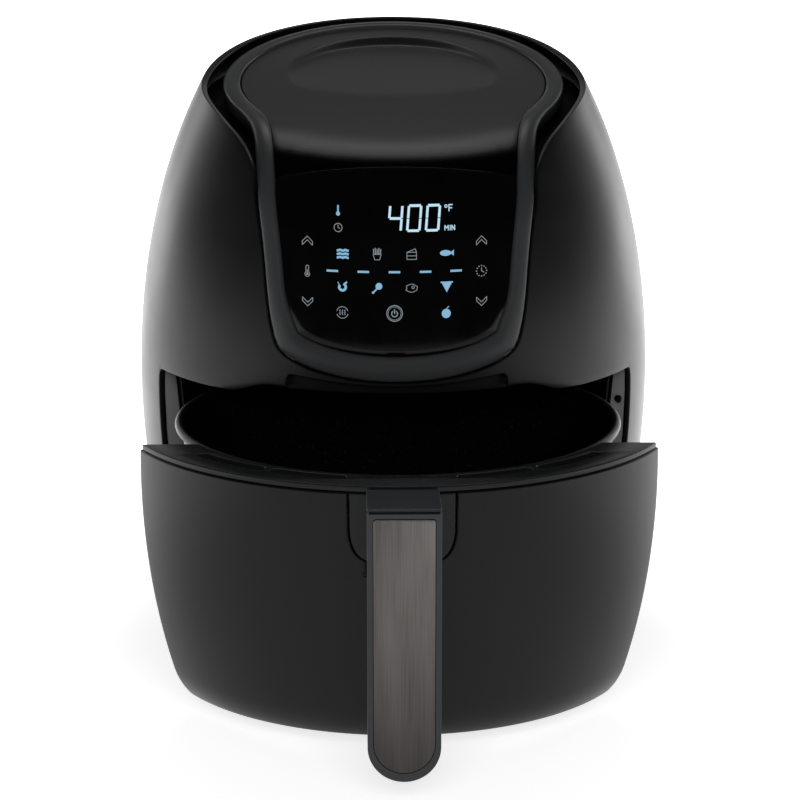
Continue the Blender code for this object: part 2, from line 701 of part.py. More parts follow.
def build_motor():
    """Motor, its bracket and standoffs, on the fan's axis."""
    turned("motor_body", [(0.0046, 0.2805), (0.012, 0.2805), (0.014, 0.2775), (0.029, 0.2745),
                          (0.031, 0.2715), (0.031, 0.2545), (0.029, 0.2515), (0.0046, 0.2515)],
           STEEL, FAN_AXIS, steps=32)
    turned("motor_bracket", [(0.0075, 0.2508), (0.064, 0.2508), (0.064, 0.2492), (0.0075, 0.2492)],
           GALVANISED, FAN_AXIS, steps=32)
    for k in range(3):
        angle = math.radians(30.0 + 120.0 * k)
        x, y = 0.057 * math.cos(angle), 0.057 * math.sin(angle)
        rod("motor_standoff_" + str(k + 1), 0.0035, (x, y, 0.2235), (x, y, 0.2488), STEEL, FAN_AXIS,
            sides=10)


def build_electronics():
    """Power board, display board and the parts on them."""
    box("power_board", (0.076, 0.050, BOARD_THICKNESS), (0.0, 0.093, 0.2368), GREEN_BOARD, HOUSING)
    box("relay", (0.020, 0.024, 0.016), (-0.022, 0.092, 0.2460), DARK_PLASTIC, HOUSING)
    rod("capacitor", 0.008, (0.018, 0.092, 0.2380), (0.018, 0.092, 0.2620), DARK_PLASTIC, HOUSING)
    lean = Matrix.Rotation(-BOARD_LEAN, 4, 'X')
    box("display_board", (0.092, BOARD_THICKNESS, 0.058), (0.0, -0.1185, 0.2080), GREEN_BOARD, HOUSING, lean)
    box("display_module", (0.052, 0.0060, 0.020), (0.0, -0.1184, 0.2265), DARK_PLASTIC, HOUSING, lean)
    box("drawer_switch", (0.0085, 0.020, 0.013), (SWITCH_X, -0.0400, SWITCH_Z), DARK_PLASTIC, HOUSING)
    rod("switch_plunger", 0.0015, (SWITCH_X, -0.0641, SWITCH_Z), (SWITCH_X, -0.0522, SWITCH_Z),
        DARK_PLASTIC, HOUSING, sides=10)


def build_rear():
    """Vent grille, exhaust duct and cord inlet at the back."""
    rows = [[egg_point(math.pi + turn, z, 0.0004) for turn in spread(-0.296, 0.296, 9)]
            for z in spread(0.1758, 0.2342, 5)]
    grille = patch("rear_vent_grille", rows, DARK_PLASTIC, HOUSING, 0.0022, (0.0, 0.0, 0.20))
    for k in range(6):
        z = 0.1826 + 0.0090 * k
        cut(grille, box("grille_cutter_" + str(k), (0.070, 0.060, 0.0045), (0.0, 0.155, z), None,
                        HOUSING))
    duct = box("exhaust_duct", (0.062, 0.048, 0.028), (0.0, 0.1236, 0.201), GALVANISED, HOUSING)
    cut(duct, box("duct_cutter", (0.060, 0.060, 0.026), (0.0, 0.1236, 0.201), None, HOUSING))
    turned("cord_inlet", [(0.0035, 0.010), (0.0065, 0.010), (0.0075, 0.0), (0.012, 0.0),
                          (0.012, -0.003), (0.008, -0.003), (0.008, -0.014), (0.0035, -0.014)],
           RUBBER, HOUSING, (0.0, CORD_INLET_Y, 0.045), steps=24).rotation_euler.x = -math.pi / 2.0


def build_base():
    """Base plate, feet and the screws that hold it."""
    outline = [(x, y * REAR_STRETCH if y > 0.0 else y) for x, y in circle(0.112)]
    base = plate("base_plate", outline, 0.0027, DARK_PLASTIC, HOUSING, (0.0, 0.0, 0.00685))
    for name, x, y in (("front_left", -0.072, -0.070), ("front_right", 0.072, -0.070),
                       ("rear_left", -0.062, 0.085), ("rear_right", 0.062, 0.085)):
        rod("foot_" + name, 0.0085, (x, y, 0.0), (x, y, 0.0052), RUBBER, HOUSING, top_radius=0.0095)
    for name, x, y in (("front_left", -0.094, -0.028), ("front_right", 0.094, -0.028),
                       ("rear_left", -0.088, 0.050), ("rear_right", 0.088, 0.050)):
        turned("base_screw_" + name, [(0.0, 0.0145), (0.0016, 0.0145), (0.0016, 0.0052),
                                      (0.0034, 0.0052), (0.0034, 0.0040), (0.0, 0.0036)],
               STEEL, HOUSING, (x, y, 0.0), steps=12)
        cut(base, rod("screw_cutter_" + name, 0.0021, (x, y, 0.0), (x, y, 0.012), None, HOUSING,
                      sides=12))


# ---- drawer ----

def build_drawer_front():
    """Front panel of the drawer, on the same egg as the housing, with a seat for the handle."""
    edge_y = OPENING_Y - 0.0008
    rows = []
    for z in (DRAWER_BOTTOM_Z, 0.0125, 0.017, EDGE_TOP_Z, 0.045, 0.070, 0.096, 0.120,
              DECK_TOP_Z - DECK_THICKNESS - GAP):
        limit = opening_turn(z, edge_y)
        rows.append([egg_point(turn, z) for turn in spread(-limit, limit, 21)])
    front = patch("drawer_front", rows, BLACK_SHELL, DRAWER, FRONT_WALL, (0.0, 0.0, 0.10))
    seat = plate("seat_cutter", handle_seat(0.0), 0.060, None, DRAWER, (0.0, -0.145, 0.0),
                 upright=True)
    cut(front, seat)

    outer = [(x, y) for x, y in plan_arc(egg_radius(DECK_TOP_Z) - 0.0003, DECK_REAR_Y, 24)]
    inner = [(x, y + PAN_CENTRE_Y)
             for x, y in plan_arc(PAN_RIM_RADIUS + 0.0008, DECK_REAR_Y - PAN_CENTRE_Y, 24)]
    holes = [curved_slot(0.1297, 0.0058, start, end) for start, end in
             ((-48.4, -31.9), (-28.2, -12.9), (12.9, 28.2), (31.9, 48.4))]
    plate("drawer_deck", outer + inner[::-1], DECK_THICKNESS, SATIN_TRIM, DRAWER,
          (0.0, 0.0, DECK_TOP_Z - DECK_THICKNESS / 2.0), holes=holes)

    rows = []
    for z in (0.016, 0.045, 0.090, 0.1385):
        radius = egg_radius(z) - 0.0108
        limit = min(math.acos(0.100 / radius), 0.80)
        rows.append([Vector((radius * math.sin(turn), -radius * math.cos(turn), z))
                     for turn in spread(-limit, limit, 9)])
    patch("heat_shield", rows, GALVANISED, DRAWER, SHEET, (0.0, 0.0, 0.10))


def plan_arc(radius, chord_y, sides):
    """Arc of a circle in front of a chord, from left to right."""
    limit = math.acos(-chord_y / radius)
    return [(radius * math.sin(turn), -radius * math.cos(turn))
            for turn in spread(-limit, limit, sides + 1)]


def curved_slot(radius, width, start, end):
    """Closed outline of a slot that follows a circle round the housing axis."""
    angles = [math.radians(angle) for angle in spread(start, end, 5)]
    outer = [((radius + width / 2) * math.sin(a), -(radius + width / 2) * math.cos(a)) for a in angles]
    inner = [((radius - width / 2) * math.sin(a), -(radius - width / 2) * math.cos(a)) for a in angles]
    return outer + inner[::-1]


def handle_seat(inset):
    """Front outline of the handle's seat: straight sides that turn in to a narrow foot."""
    half, foot, top, bend, low = 0.0262 - inset, 0.0174 - inset, 0.1397 - inset, 0.122, 0.098 + inset
    right = [(half, top), (half, bend)]
    reach = half - foot
    for angle in (30.0, 60.0, 90.0):
        a = math.radians(angle)
        right.append((half - reach * (1.0 - math.cos(a)), bend - 0.016 * math.sin(a)))
    right.append((foot, low))
    return right + [(-x, z) for x, z in right[::-1]]


def build_pan():
    """Non-stick pan: tapered bowl with a rolled rim, on its own axis in the drawer."""
    corner = 0.010
    wall = [(PAN_RIM_RADIUS - 0.0015, PAN_RIM_Z), (PAN_RIM_RADIUS, PAN_RIM_Z - 0.0015),
            (PAN_RIM_RADIUS, PAN_RIM_Z - 0.0040), (PAN_RIM_RADIUS - 0.0034, PAN_RIM_Z - 0.0050)]
    base, low = PAN_BOTTOM_RADIUS, PAN_BOTTOM_Z
    for angle in (0.0, 30.0, 60.0, 90.0):
        a = math.radians(angle)
        wall.append((base - corner + corner * math.cos(a), low + corner - corner * math.sin(a)))
    wall.append((0.0, low))
    inside = [(0.0, low + PAN_WALL)]
    for angle in (90.0, 60.0, 30.0, 0.0):
        a = math.radians(angle)
        reach = corner - PAN_WALL
        inside.append((base - corner + reach * math.cos(a), low + corner - reach * math.sin(a)))
    inside.append((PAN_RIM_RADIUS - 0.0034 - PAN_WALL, PAN_RIM_Z - 0.0060))
    inside.append((PAN_RIM_RADIUS - 0.0034 - PAN_WALL, PAN_RIM_Z))
    turned("pan", wall + inside, NON_STICK, DRAWER, (0.0, PAN_CENTRE_Y, 0.0), steps=40)


def build_handle():
    """Handle: seat in the front, grip with its bridge, brushed inlay and two screws."""
    rows = []
    for z in (0.0985, 0.106, 0.114, 0.122, 0.131, 0.1392):
        half = seat_half_width(z) - GAP
        rows.append([egg_side(x, z, 0.0002) for x in spread(-half, half, 5)])
    base = patch("handle_base", rows, SATIN_TRIM, DRAWER, 0.006, (0.0, 0.0, 0.12))

    back, front = HANDLE_FRONT_Y + HANDLE_THICKNESS, HANDLE_FRONT_Y
    root = -egg_radius(0.135) - 0.0006
    side = [(root, 0.1405), (-0.150, 0.1432), (front + 0.0035, HANDLE_TOP_Z), (front + 0.001, 0.1455),
            (front, 0.1425), (front, HANDLE_BOTTOM_Z), (back, HANDLE_BOTTOM_Z), (back, 0.113),
            (back + 0.002, 0.1205), (back + 0.007, 0.1255), (back + 0.015, 0.1275), (root, 0.1275)]
    grip = plate("handle_grip", side, 2.0 * HANDLE_HALF_WIDTH, SATIN_TRIM, DRAWER)
    grip.rotation_euler = (math.pi / 2.0, 0.0, math.pi / 2.0)
    outline = circle(HANDLE_HALF_WIDTH + 0.0002, (0.0, HANDLE_BOTTOM_Z + HANDLE_HALF_WIDTH + 0.0002), 12,
                     180.0, 360.0)
    outline += [(HANDLE_HALF_WIDTH + 0.0002, 0.160), (-HANDLE_HALF_WIDTH - 0.0002, 0.160)]
    shape = plate("grip_shape", outline, 0.080, None, DRAWER, (0.0, -0.170, 0.0), upright=True)
    cut(grip, shape, operation='INTERSECT')
    pocket = plate("inlay_cutter", inlay_outline(0.0), 0.0030, None, DRAWER, (0.0, front, 0.0),
                   upright=True)
    cut(grip, pocket)
    plate("handle_inlay", inlay_outline(0.0003), 0.0011, BRUSHED, DRAWER, (0.0, front + 0.0006, 0.0),
          upright=True)
    for name, x in (("left", -0.009), ("right", 0.009)):
        z = HANDLE_SCREW_Z
        bore = rod("bore_" + name, 0.0022, (x, -0.120, z), (x, -0.162, z), None, DRAWER, sides=12)
        cut(base, bore)
        cut(grip, bore)
        screw = turned("handle_screw_" + name,
                       [(0.0, 0.0198), (0.0017, 0.0198), (0.0017, 0.0), (0.0036, 0.0),
                        (0.0036, -0.0020), (0.0, -0.0026)], STEEL, DRAWER,
                       (x, HANDLE_SCREW_Y, z), steps=12)
        screw.rotation_euler.x = math.pi / 2.0


def egg_side(x, z, inset=0.0):
    """Point on the front of the egg at a given side offset."""
    radius = egg_radius(z) - inset
    return Vector((x, -math.sqrt(radius * radius - x * x), z))


def seat_half_width(z):
    """Half width of the handle's seat at height z, by the same rule as its outline."""
    line = [point for point in handle_seat(0.0) if point[0] > 0.0]
    for (x0, z0), (x1, z1) in zip(line, line[1:]):
        if z1 <= z <= z0 and z0 > z1:
            return x0 + (x1 - x0) * (z0 - z) / (z0 - z1)
    return line[-1][0]


def inlay_outline(inset):
    """Front outline of the inlay: straight top, half-round foot."""
    half = INLAY_HALF_WIDTH - inset
    foot = circle(half, (0.0, INLAY_BOTTOM_Z + INLAY_HALF_WIDTH), 12, 180.0, 360.0)
    top = INLAY_TOP_Z - inset
    return foot + [(half, top - 0.002), (half - 0.002, top), (2e-3 - half, top), (-half, top - 0.002)]


def build_tray():
    """Crisper tray in the pan, with three silicone bumpers round its rim."""
    holes = [circle(0.0045, (ring * math.cos(math.tau * k / count), ring * math.sin(math.tau * k / count)),
                    8) for ring, count in ((0.024, 5), (0.046, 8), (0.068, 12))
             for k in range(count)]
    plate("crisper_tray", circle(TRAY_RADIUS), 0.0015, NON_STICK, DRAWER,
          (0.0, PAN_CENTRE_Y, TRAY_Z), holes=holes)
    for k in range(3):
        turn = Matrix.Rotation(math.radians(90.0 + 120.0 * k), 4, 'Z')
        bumper = box("tray_bumper_" + str(k + 1), (0.0055, 0.014, 0.0078),
                     turn @ Vector((0.0910, 0.0, TRAY_Z)) + Vector((0.0, PAN_CENTRE_Y, 0.0)), RUBBER,
                     DRAWER, turn)
        slit = box("bumper_cutter_" + str(k + 1), (0.0080, 0.030, 0.0022),
                   turn @ Vector((0.0880, 0.0, TRAY_Z)) + Vector((0.0, PAN_CENTRE_Y, 0.0)), None,
                   DRAWER, turn)
        cut(bumper, slit)


clear_scene()
PARTS = new_collection("air_fryer")
CUTTERS = new_collection("cutters")

BLACK_SHELL = finish("black moulded shell", (0.022, 0.022, 0.023), 0.38)
SATIN_TRIM = finish("satin trim", (0.045, 0.046, 0.048), 0.36)
MATT_COVER = finish("matt cover", (0.030, 0.030, 0.031), 0.45)
GLASS_PANEL = finish("gloss panel", (0.004, 0.004, 0.005), 0.08)
DARK_PLASTIC = finish("dark plastic", (0.018, 0.018, 0.019), 0.55)
GALVANISED = finish("galvanised sheet", (0.55, 0.56, 0.57), 0.38, 1.0)
ENAMELLED = finish("black enamelled sheet", (0.018, 0.018, 0.018), 0.42)
STEEL = finish("steel", (0.60, 0.60, 0.60), 0.32, 1.0)
HEATER = finish("heater tube", (0.16, 0.15, 0.14), 0.45, 1.0)
NON_STICK = finish("non-stick coating", (0.020, 0.020, 0.020), 0.30)
BRUSHED = finish("brushed inlay", (0.16, 0.155, 0.15), 0.30, 1.0)
GREEN_BOARD = finish("circuit board", (0.02, 0.16, 0.07), 0.45)
RUBBER = finish("rubber", (0.015, 0.015, 0.015), 0.80)

HOUSING = add_empty("housing_axis", AXIS_Y)
FAN_AXIS = add_empty("fan_axis", AXIS_Y + PAN_CENTRE_Y)
DRAWER = add_empty("drawer_axis", AXIS_Y - DRAWER_OUT)

build_shell()
build_lid()
build_opening()
build_bay()
build_chamber()
build_fan()
build_motor()
build_electronics()
build_rear()
build_base()
build_drawer_front()
build_pan()
build_handle()
build_tray()
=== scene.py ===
"""Looks of a basket air fryer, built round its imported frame.

Metres, +Z up, front towards -Y.  The egg-shaped housing carries a satin band, a matt cover and a
gloss touch panel; a drawer with a round pan, a crisper tray and a brushed handle stands in front.
"""

import logging
import math
from collections.abc import Callable, Iterable, Sequence
from dataclasses import dataclass, field
from enum import Enum

import bmesh
import bpy
import numpy as np
from mathutils import Matrix, Vector


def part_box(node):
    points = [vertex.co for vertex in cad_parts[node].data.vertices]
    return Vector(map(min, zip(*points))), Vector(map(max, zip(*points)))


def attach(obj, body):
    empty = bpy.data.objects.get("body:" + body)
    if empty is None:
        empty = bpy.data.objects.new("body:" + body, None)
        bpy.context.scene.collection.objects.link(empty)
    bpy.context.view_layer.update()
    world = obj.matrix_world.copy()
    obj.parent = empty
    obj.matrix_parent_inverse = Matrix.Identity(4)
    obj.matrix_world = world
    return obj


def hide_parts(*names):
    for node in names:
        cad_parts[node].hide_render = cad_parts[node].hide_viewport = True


Array = np.ndarray
Piece = bpy.types.Object
Route = Sequence[tuple[float, float]]
Tree = bpy.types.NodeTree

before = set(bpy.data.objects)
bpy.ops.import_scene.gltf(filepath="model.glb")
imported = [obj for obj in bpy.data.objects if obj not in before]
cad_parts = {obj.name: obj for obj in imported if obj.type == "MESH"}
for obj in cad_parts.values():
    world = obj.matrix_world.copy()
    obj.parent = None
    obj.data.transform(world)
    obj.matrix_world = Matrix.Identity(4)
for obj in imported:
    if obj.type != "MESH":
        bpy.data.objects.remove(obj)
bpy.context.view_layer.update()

LOG = logging.getLogger("air_fryer")
MERGE = 1e-6               # points closer than this are one point
PAN_AHEAD = 0.0067         # the pan's and the fan's axes stand this far in front of the egg's axis
BAY_Y = -0.0625            # upright plane that the drawer opening is cut back to


class Body(Enum):
    """Bodies of the frame that the made pieces ride on."""

    HOUSING = "housing"
    DRAWER = "drawer"
    TRAY = "tray"


class Slot(Enum):
    """Material slots of the record, listed with the made pieces."""

    SHELL = "shell_plastic"
    TRIM = "trim_plastic"
    COVER = "cover_plastic"
    PANEL = "panel_glass"
    INNER = "inner_plastic"
    NON_STICK = "non_stick"
    INLAY = "brushed_inlay"
    RUBBER = "rubber"
    SILICONE = "silicone"


# ---- small helpers ----

def middle(node: str) -> Vector:
    """Middle of a CAD node's box."""
    low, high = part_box(node)
    return (low + high) / 2.0


FAN_Y = middle("motor_shaft").y
HOUSING_Y = FAN_Y + PAN_AHEAD
PAN_Y = middle("pan").y
DRAWER_Y = PAN_Y + PAN_AHEAD


def linear(colour: str) -> tuple[float, float, float, float]:
    """Turn an sRGB hex colour to linear.

    Args:
        colour: six hex digits, red first.

    Returns:
        Linear red, green, blue and an alpha of one.
    """
    parts = [int(colour[k:k + 2], 16) / 255.0 for k in (0, 2, 4)]
    red, green, blue = (p / 12.92 if p <= 0.04045 else ((p + 0.055) / 1.055) ** 2.4 for p in parts)
    return (red, green, blue, 1.0)


def ease(share: Array | float) -> Array:
    """Ease from 0 to 1 as share goes from 0 to 1."""
    share = np.clip(share, 0.0, 1.0)
    return share * share * (3.0 - 2.0 * share)


def unit(vectors: Array) -> Array:
    """Vectors of length one along the last axis."""
    return vectors / np.maximum(np.linalg.norm(vectors, axis=-1, keepdims=True), 1e-12)


def arc(radius: float, start: float, end: float, steps: int,
        centre: tuple[float, float] = (0.0, 0.0)) -> Array:
    """Points along an arc.

    Args:
        radius: radius of the arc.
        start: first angle in degrees, from the first axis towards the second.
        end: last angle in degrees.
        steps: number of chords.
        centre: centre of the arc.

    Returns:
        An array of steps + 1 points in the plane.
    """
    angles = np.radians(np.linspace(start, end, steps + 1))
    return np.column_stack([centre[0] + radius * np.cos(angles), centre[1] + radius * np.sin(angles)])


def flowing_line(anchors: Route, cuts: int) -> Array:
    """Catmull-Rom line through anchors.

    Args:
        anchors: points in the plane.
        cuts: extra points in every span.

    Returns:
        The points of the line, both ends included.
    """
    points = np.array([anchors[0], *anchors, anchors[-1]])
    share = (np.arange(cuts + 1) / (cuts + 1))[:, None]
    spans = []
    for p, q, r, s in zip(points, points[1:], points[2:], points[3:]):
        spans.append(0.5 * (2 * q + (r - p) * share + (2 * p - 5 * q + 4 * r - s) * share ** 2
                            + (3 * q - p - 3 * r + s) * share ** 3))
    return np.vstack([*spans, points[-1:]])


def add_node(tree: Tree, kind: str, inputs: dict | None = None,
             **settings: object) -> bpy.types.Node:
    """Add a node to a tree.

    Args:
        tree: shader or geometry tree.
        kind: the node's type name.
        inputs: value, output socket or node (its first output) for each input, by name or place.
        settings: properties of the node itself.

    Returns:
        The new node.
    """
    node = tree.nodes.new(kind)
    for key, value in settings.items():
        setattr(node, key, value)
    for key, value in (inputs or {}).items():
        if isinstance(value, bpy.types.Node):
            value = value.outputs[0]
        if isinstance(value, bpy.types.NodeSocket):
            tree.links.new(value, node.inputs[key])
        else:
            node.inputs[key].default_value = value
    return node


# ---- meshes ----

def edge_between(inside: Callable[[Array], Array], near: Array, far: Array,
                 steps: int = 36) -> Array:
    """Halve the way between places inside and outside until their edge is found.

    Args:
        inside: tells which places are inside.
        near: places that are inside.
        far: places that are outside.
        steps: number of halvings.

    Returns:
        The places just inside the edge.
    """
    for _ in range(steps):
        half = (near + far) / 2.0
        held = inside(half)
        near, far = np.where(held, half, near), np.where(held, far, half)
    return near


def new_object(name: str, data: bpy.types.ID) -> Piece:
    """Link data to the scene as an object at the origin."""
    obj = bpy.data.objects.new(name, data)
    bpy.context.scene.collection.objects.link(obj)
    return obj


def solid(name: str, points: Array, faces: Iterable[Sequence[int]]) -> Piece:
    """Make a closed mesh whose faces point outwards.

    Args:
        name: the object's name.
        points: one row of x, y, z for each point.
        faces: point numbers of each face.

    Returns:
        The new object.
    """
    mesh = bpy.data.meshes.new(name)
    mesh.from_pydata(np.asarray(points, float).tolist(), [], [list(map(int, f)) for f in faces])
    obj = new_object(name, mesh)
    bm = bmesh.new()
    bm.from_mesh(mesh)
    bmesh.ops.remove_doubles(bm, verts=bm.verts, dist=MERGE)
    loose = [vert for vert in bm.verts if not vert.link_faces]
    bmesh.ops.delete(bm, geom=loose, context='VERTS')
    bmesh.ops.recalc_face_normals(bm, faces=bm.faces)
    bm.to_mesh(mesh)
    bm.free()
    return obj


def sheet(name: str, outer: Array, inner: Array, keep: Array | None = None,
          around: bool = False) -> Piece:
    """Make the closed wall between two grids of points.

    Args:
        name: the object's name.
        outer: grid of rows and columns of points.
        inner: the same grid on the wall's other side.
        keep: which cells of the grid hold wall; all of them if it is None.
        around: whether the last column joins the first one.

    Returns:
        The new object.
    """
    rows, columns = outer.shape[:2]
    flat = np.round(outer.reshape(-1, 3) / MERGE).astype(np.int64)
    _, first, inverse = np.unique(flat, axis=0, return_index=True, return_inverse=True)
    index = inverse.reshape(rows, columns)
    if around:
        index = np.column_stack([index, index[:, 0]])
    cells = np.stack([index[:-1, :-1], index[:-1, 1:], index[1:, 1:], index[1:, :-1]], axis=-1)
    cells = cells.reshape(-1, 4) if keep is None else cells[keep]
    loops = [list(dict.fromkeys(cell)) for cell in cells.tolist()]
    loops = [loop for loop in loops if len(loop) > 2]
    count = len(first)
    sides = {(a, b) for loop in loops for a, b in zip(loop, loop[1:] + loop[:1])}
    faces = loops + [[k + count for k in reversed(loop)] for loop in loops]
    faces += [[b, a, a + count, b + count] for a, b in sorted(sides) if (b, a) not in sides]
    points = np.vstack([outer.reshape(-1, 3)[first], inner.reshape(-1, 3)[first]])
    return solid(name, points, faces)


def lathe(name: str, profile: Route, centre: Sequence[float],
          steps: int = 96, axis: str = "Z") -> Piece:
    """Make a solid of revolution.

    Args:
        name: the object's name.
        profile: closed line of (radius, height along the axis).
        centre: place of the profile's origin.
        steps: number of facets round it.
        axis: "Z" for upright or "Y" for heights that run backwards.

    Returns:
        The new object.
    """
    turns = np.linspace(0.0, math.tau, steps, endpoint=False)
    line = np.array(profile)
    ring = [np.column_stack([line[:, 0] * math.cos(t), line[:, 0] * math.sin(t), line[:, 1]])
            for t in turns]
    points = np.vstack(ring)
    if axis == "Y":
        points = points[:, [0, 2, 1]]
    count = len(line)
    faces = []
    for k in range(steps):
        here, there = k * count, ((k + 1) % steps) * count
        for j in range(count):
            after = (j + 1) % count
            corners = [here + j, here + after, there + after, there + j]
            if line[j, 0] < MERGE and line[after, 0] < MERGE:
                continue
            if line[j, 0] < MERGE:
                corners = corners[:3]
            elif line[after, 0] < MERGE:
                corners = [corners[0], corners[1], corners[3]]
            faces.append(corners)
    return solid(name, points + np.array(centre), faces)


def tube_faces(rows: int, columns: int, ring: bool) -> list[list[int]]:
    """Faces of a tube.

    Args:
        rows: number of sections along it.
        columns: number of points in a section.
        ring: whether the last section joins the first; flat ends close the tube if not.

    Returns:
        Point numbers of each face.
    """
    faces = [[r * columns + c, r * columns + (c + 1) % columns,
              (r + 1) % rows * columns + (c + 1) % columns, (r + 1) % rows * columns + c]
             for r in range(rows if ring else rows - 1) for c in range(columns)]
    if not ring:
        faces += [list(range(columns)), list(range((rows - 1) * columns, rows * columns))]
    return faces


def prism(name: str, outline: Array, low: float, high: float, axis: str) -> Piece:
    """Make a straight prism.

    Args:
        name: the object's name.
        outline: closed outline, (y, z) for axis X, (x, z) for Y or (x, y) for Z.
        low: lower end along the axis.
        high: upper end along the axis.
        axis: the axis it is drawn along.

    Returns:
        The new object.
    """
    count = len(outline)
    place = "XYZ".index(axis)
    ends = [np.insert(outline, place, end, axis=1) for end in (low, high)]
    faces = [list(range(count)), list(range(count, 2 * count))]
    faces += [[k, (k + 1) % count, (k + 1) % count + count, k + count] for k in range(count)]
    return solid(name, np.vstack(ends), faces)


def flatten(obj: Piece) -> Piece:
    """Replace an object by the plain mesh that its modifiers or its curve make."""
    bpy.context.view_layer.update()
    graph = bpy.context.evaluated_depsgraph_get()
    mesh = bpy.data.meshes.new_from_object(obj.evaluated_get(graph))
    mesh.transform(obj.matrix_world)
    name = obj.name
    bpy.data.objects.remove(obj, do_unlink=True)
    return new_object(name, mesh)


def rounded(obj: Piece, width: float, segments: int = 3,
            angle: float = 40.0) -> Piece:
    """Round the edges of an object that turn by more than an angle.

    Args:
        obj: the object, whose mesh is closed.
        width: width of the rounding.
        segments: steps across it.
        angle: smallest turn that is rounded, in degrees.

    Returns:
        The plain, rounded object.
    """
    bevel = obj.modifiers.new("Rounding", 'BEVEL')
    bevel.width = width
    bevel.segments = segments
    bevel.limit_method = 'ANGLE'
    bevel.angle_limit = math.radians(angle)
    bevel.use_clamp_overlap = True
    return flatten(obj)


def carved(obj: Piece, tools: Iterable[Piece],
           operation: str = 'DIFFERENCE') -> Piece:
    """Cut an object with tools, or keep what it shares with them.

    Args:
        obj: the object to carve.
        tools: closed objects, which are removed afterwards.
        operation: the Boolean operation.

    Returns:
        The plain, carved object.
    """
    tools = list(tools)
    for tool in tools:
        step = obj.modifiers.new(tool.name, 'BOOLEAN')
        step.operation = operation
        step.object = tool
    result = flatten(obj)
    for tool in tools:
        bpy.data.objects.remove(tool, do_unlink=True)
    return result


def flat_plate(name: str, outlines: Sequence[Array], low: float, high: float,
               edge: float) -> Piece:
    """Make a level plate with holes and rounded edges.

    Args:
        name: the object's name.
        outlines: the outer outline and the holes, as (x, y).
        low: height of its underside.
        high: height of its top.
        edge: radius of its edges.

    Returns:
        The new object.
    """
    curve = bpy.data.curves.new(name, 'CURVE')
    curve.dimensions = '2D'
    curve.fill_mode = 'BOTH'
    curve.bevel_depth = edge
    curve.bevel_resolution = 2
    curve.offset = -edge
    curve.extrude = (high - low) / 2.0 - edge
    for outline in outlines:
        spline = curve.splines.new('POLY')
        spline.points.add(len(outline) - 1)
        for point, (x, y) in zip(spline.points, outline):
            point.co = (x, y, 0.0, 1.0)
        spline.use_cyclic_u = True
    obj = new_object(name, curve)
    obj.location.z = (low + high) / 2.0
    plain = flatten(obj)
    return welded(plain)


def welded(obj: Piece) -> Piece:
    """Merge an object's doubled points and face it outwards."""
    bm = bmesh.new()
    bm.from_mesh(obj.data)
    bmesh.ops.remove_doubles(bm, verts=bm.verts, dist=MERGE)
    bmesh.ops.recalc_face_normals(bm, faces=bm.faces)
    bm.to_mesh(obj.data)
    bm.free()
    return obj


def geometry_tree(name: str, **sockets: str) -> Tree:
    """Make an empty geometry-node group that takes a mesh and gives one.

    Args:
        name: the group's name.
        sockets: kind of each further input, by its label.

    Returns:
        The group, with its sockets and no nodes.
    """
    tree = bpy.data.node_groups.new(name, 'GeometryNodeTree')
    for label, kind in {"Geometry": 'Geometry', **sockets}.items():
        tree.interface.new_socket(label, in_out='INPUT', socket_type='NodeSocket' + kind)
    tree.interface.new_socket("Geometry", in_out='OUTPUT', socket_type='NodeSocketGeometry')
    return tree


def with_nodes(obj: Piece, tree: Tree,
               values: dict) -> Piece:
    """Run geometry nodes on an object and keep the plain result.

    Args:
        obj: the object that goes in.
        tree: the node group.
        values: value for each named input of the group.

    Returns:
        The plain object that comes out.
    """
    step = obj.modifiers.new(tree.name, 'NODES')
    step.node_group = tree
    for item in tree.interface.items_tree:
        if item.item_type == 'SOCKET' and item.in_out == 'INPUT' and item.name in values:
            step[item.identifier] = values[item.name]
    obj.update_tag()
    return flatten(obj)


def copy_of(node: str, name: str) -> Piece:
    """A merged copy of a CAD node's mesh as a new object."""
    return welded(new_object(name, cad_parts[node].data.copy()))


# ---- finishes ----

@dataclass(frozen=True)
class Finish:
    """A material that is made once and shared."""

    name: str

    def material(self) -> bpy.types.Material:
        """The Blender material of this finish."""
        found = bpy.data.materials.get(self.name)
        if found is None:
            found = bpy.data.materials.new(self.name)
            found.use_nodes = True
            found.node_tree.nodes.clear()
            shader = add_node(found.node_tree, "ShaderNodeBsdfPrincipled", self.surface(found.node_tree))
            add_node(found.node_tree, "ShaderNodeOutputMaterial", {"Surface": shader})
        return found

    def surface(self, tree: Tree) -> dict:
        """Make the shader's inputs."""
        raise NotImplementedError


def speckle(tree: Tree, size: float, stretch: tuple[float, float, float] = (1, 1, 1),
            detail: float = 2.0) -> bpy.types.NodeSocket:
    """Add a cloudy pattern on object coordinates.

    Args:
        tree: the material's tree.
        size: size of one cloud in metres.
        stretch: how much shorter the clouds are along each axis.
        detail: finer octaves in it.

    Returns:
        The socket of the pattern's value.
    """
    place = add_node(tree, "ShaderNodeTexCoord")
    scaled = add_node(tree, "ShaderNodeMapping", {"Vector": place.outputs["Object"], "Scale": stretch})
    noise = add_node(tree, "ShaderNodeTexNoise", {"Vector": scaled, "Scale": 1.0 / size,
                     "Detail": detail, "Roughness": 0.55})
    return noise.outputs["Fac"]


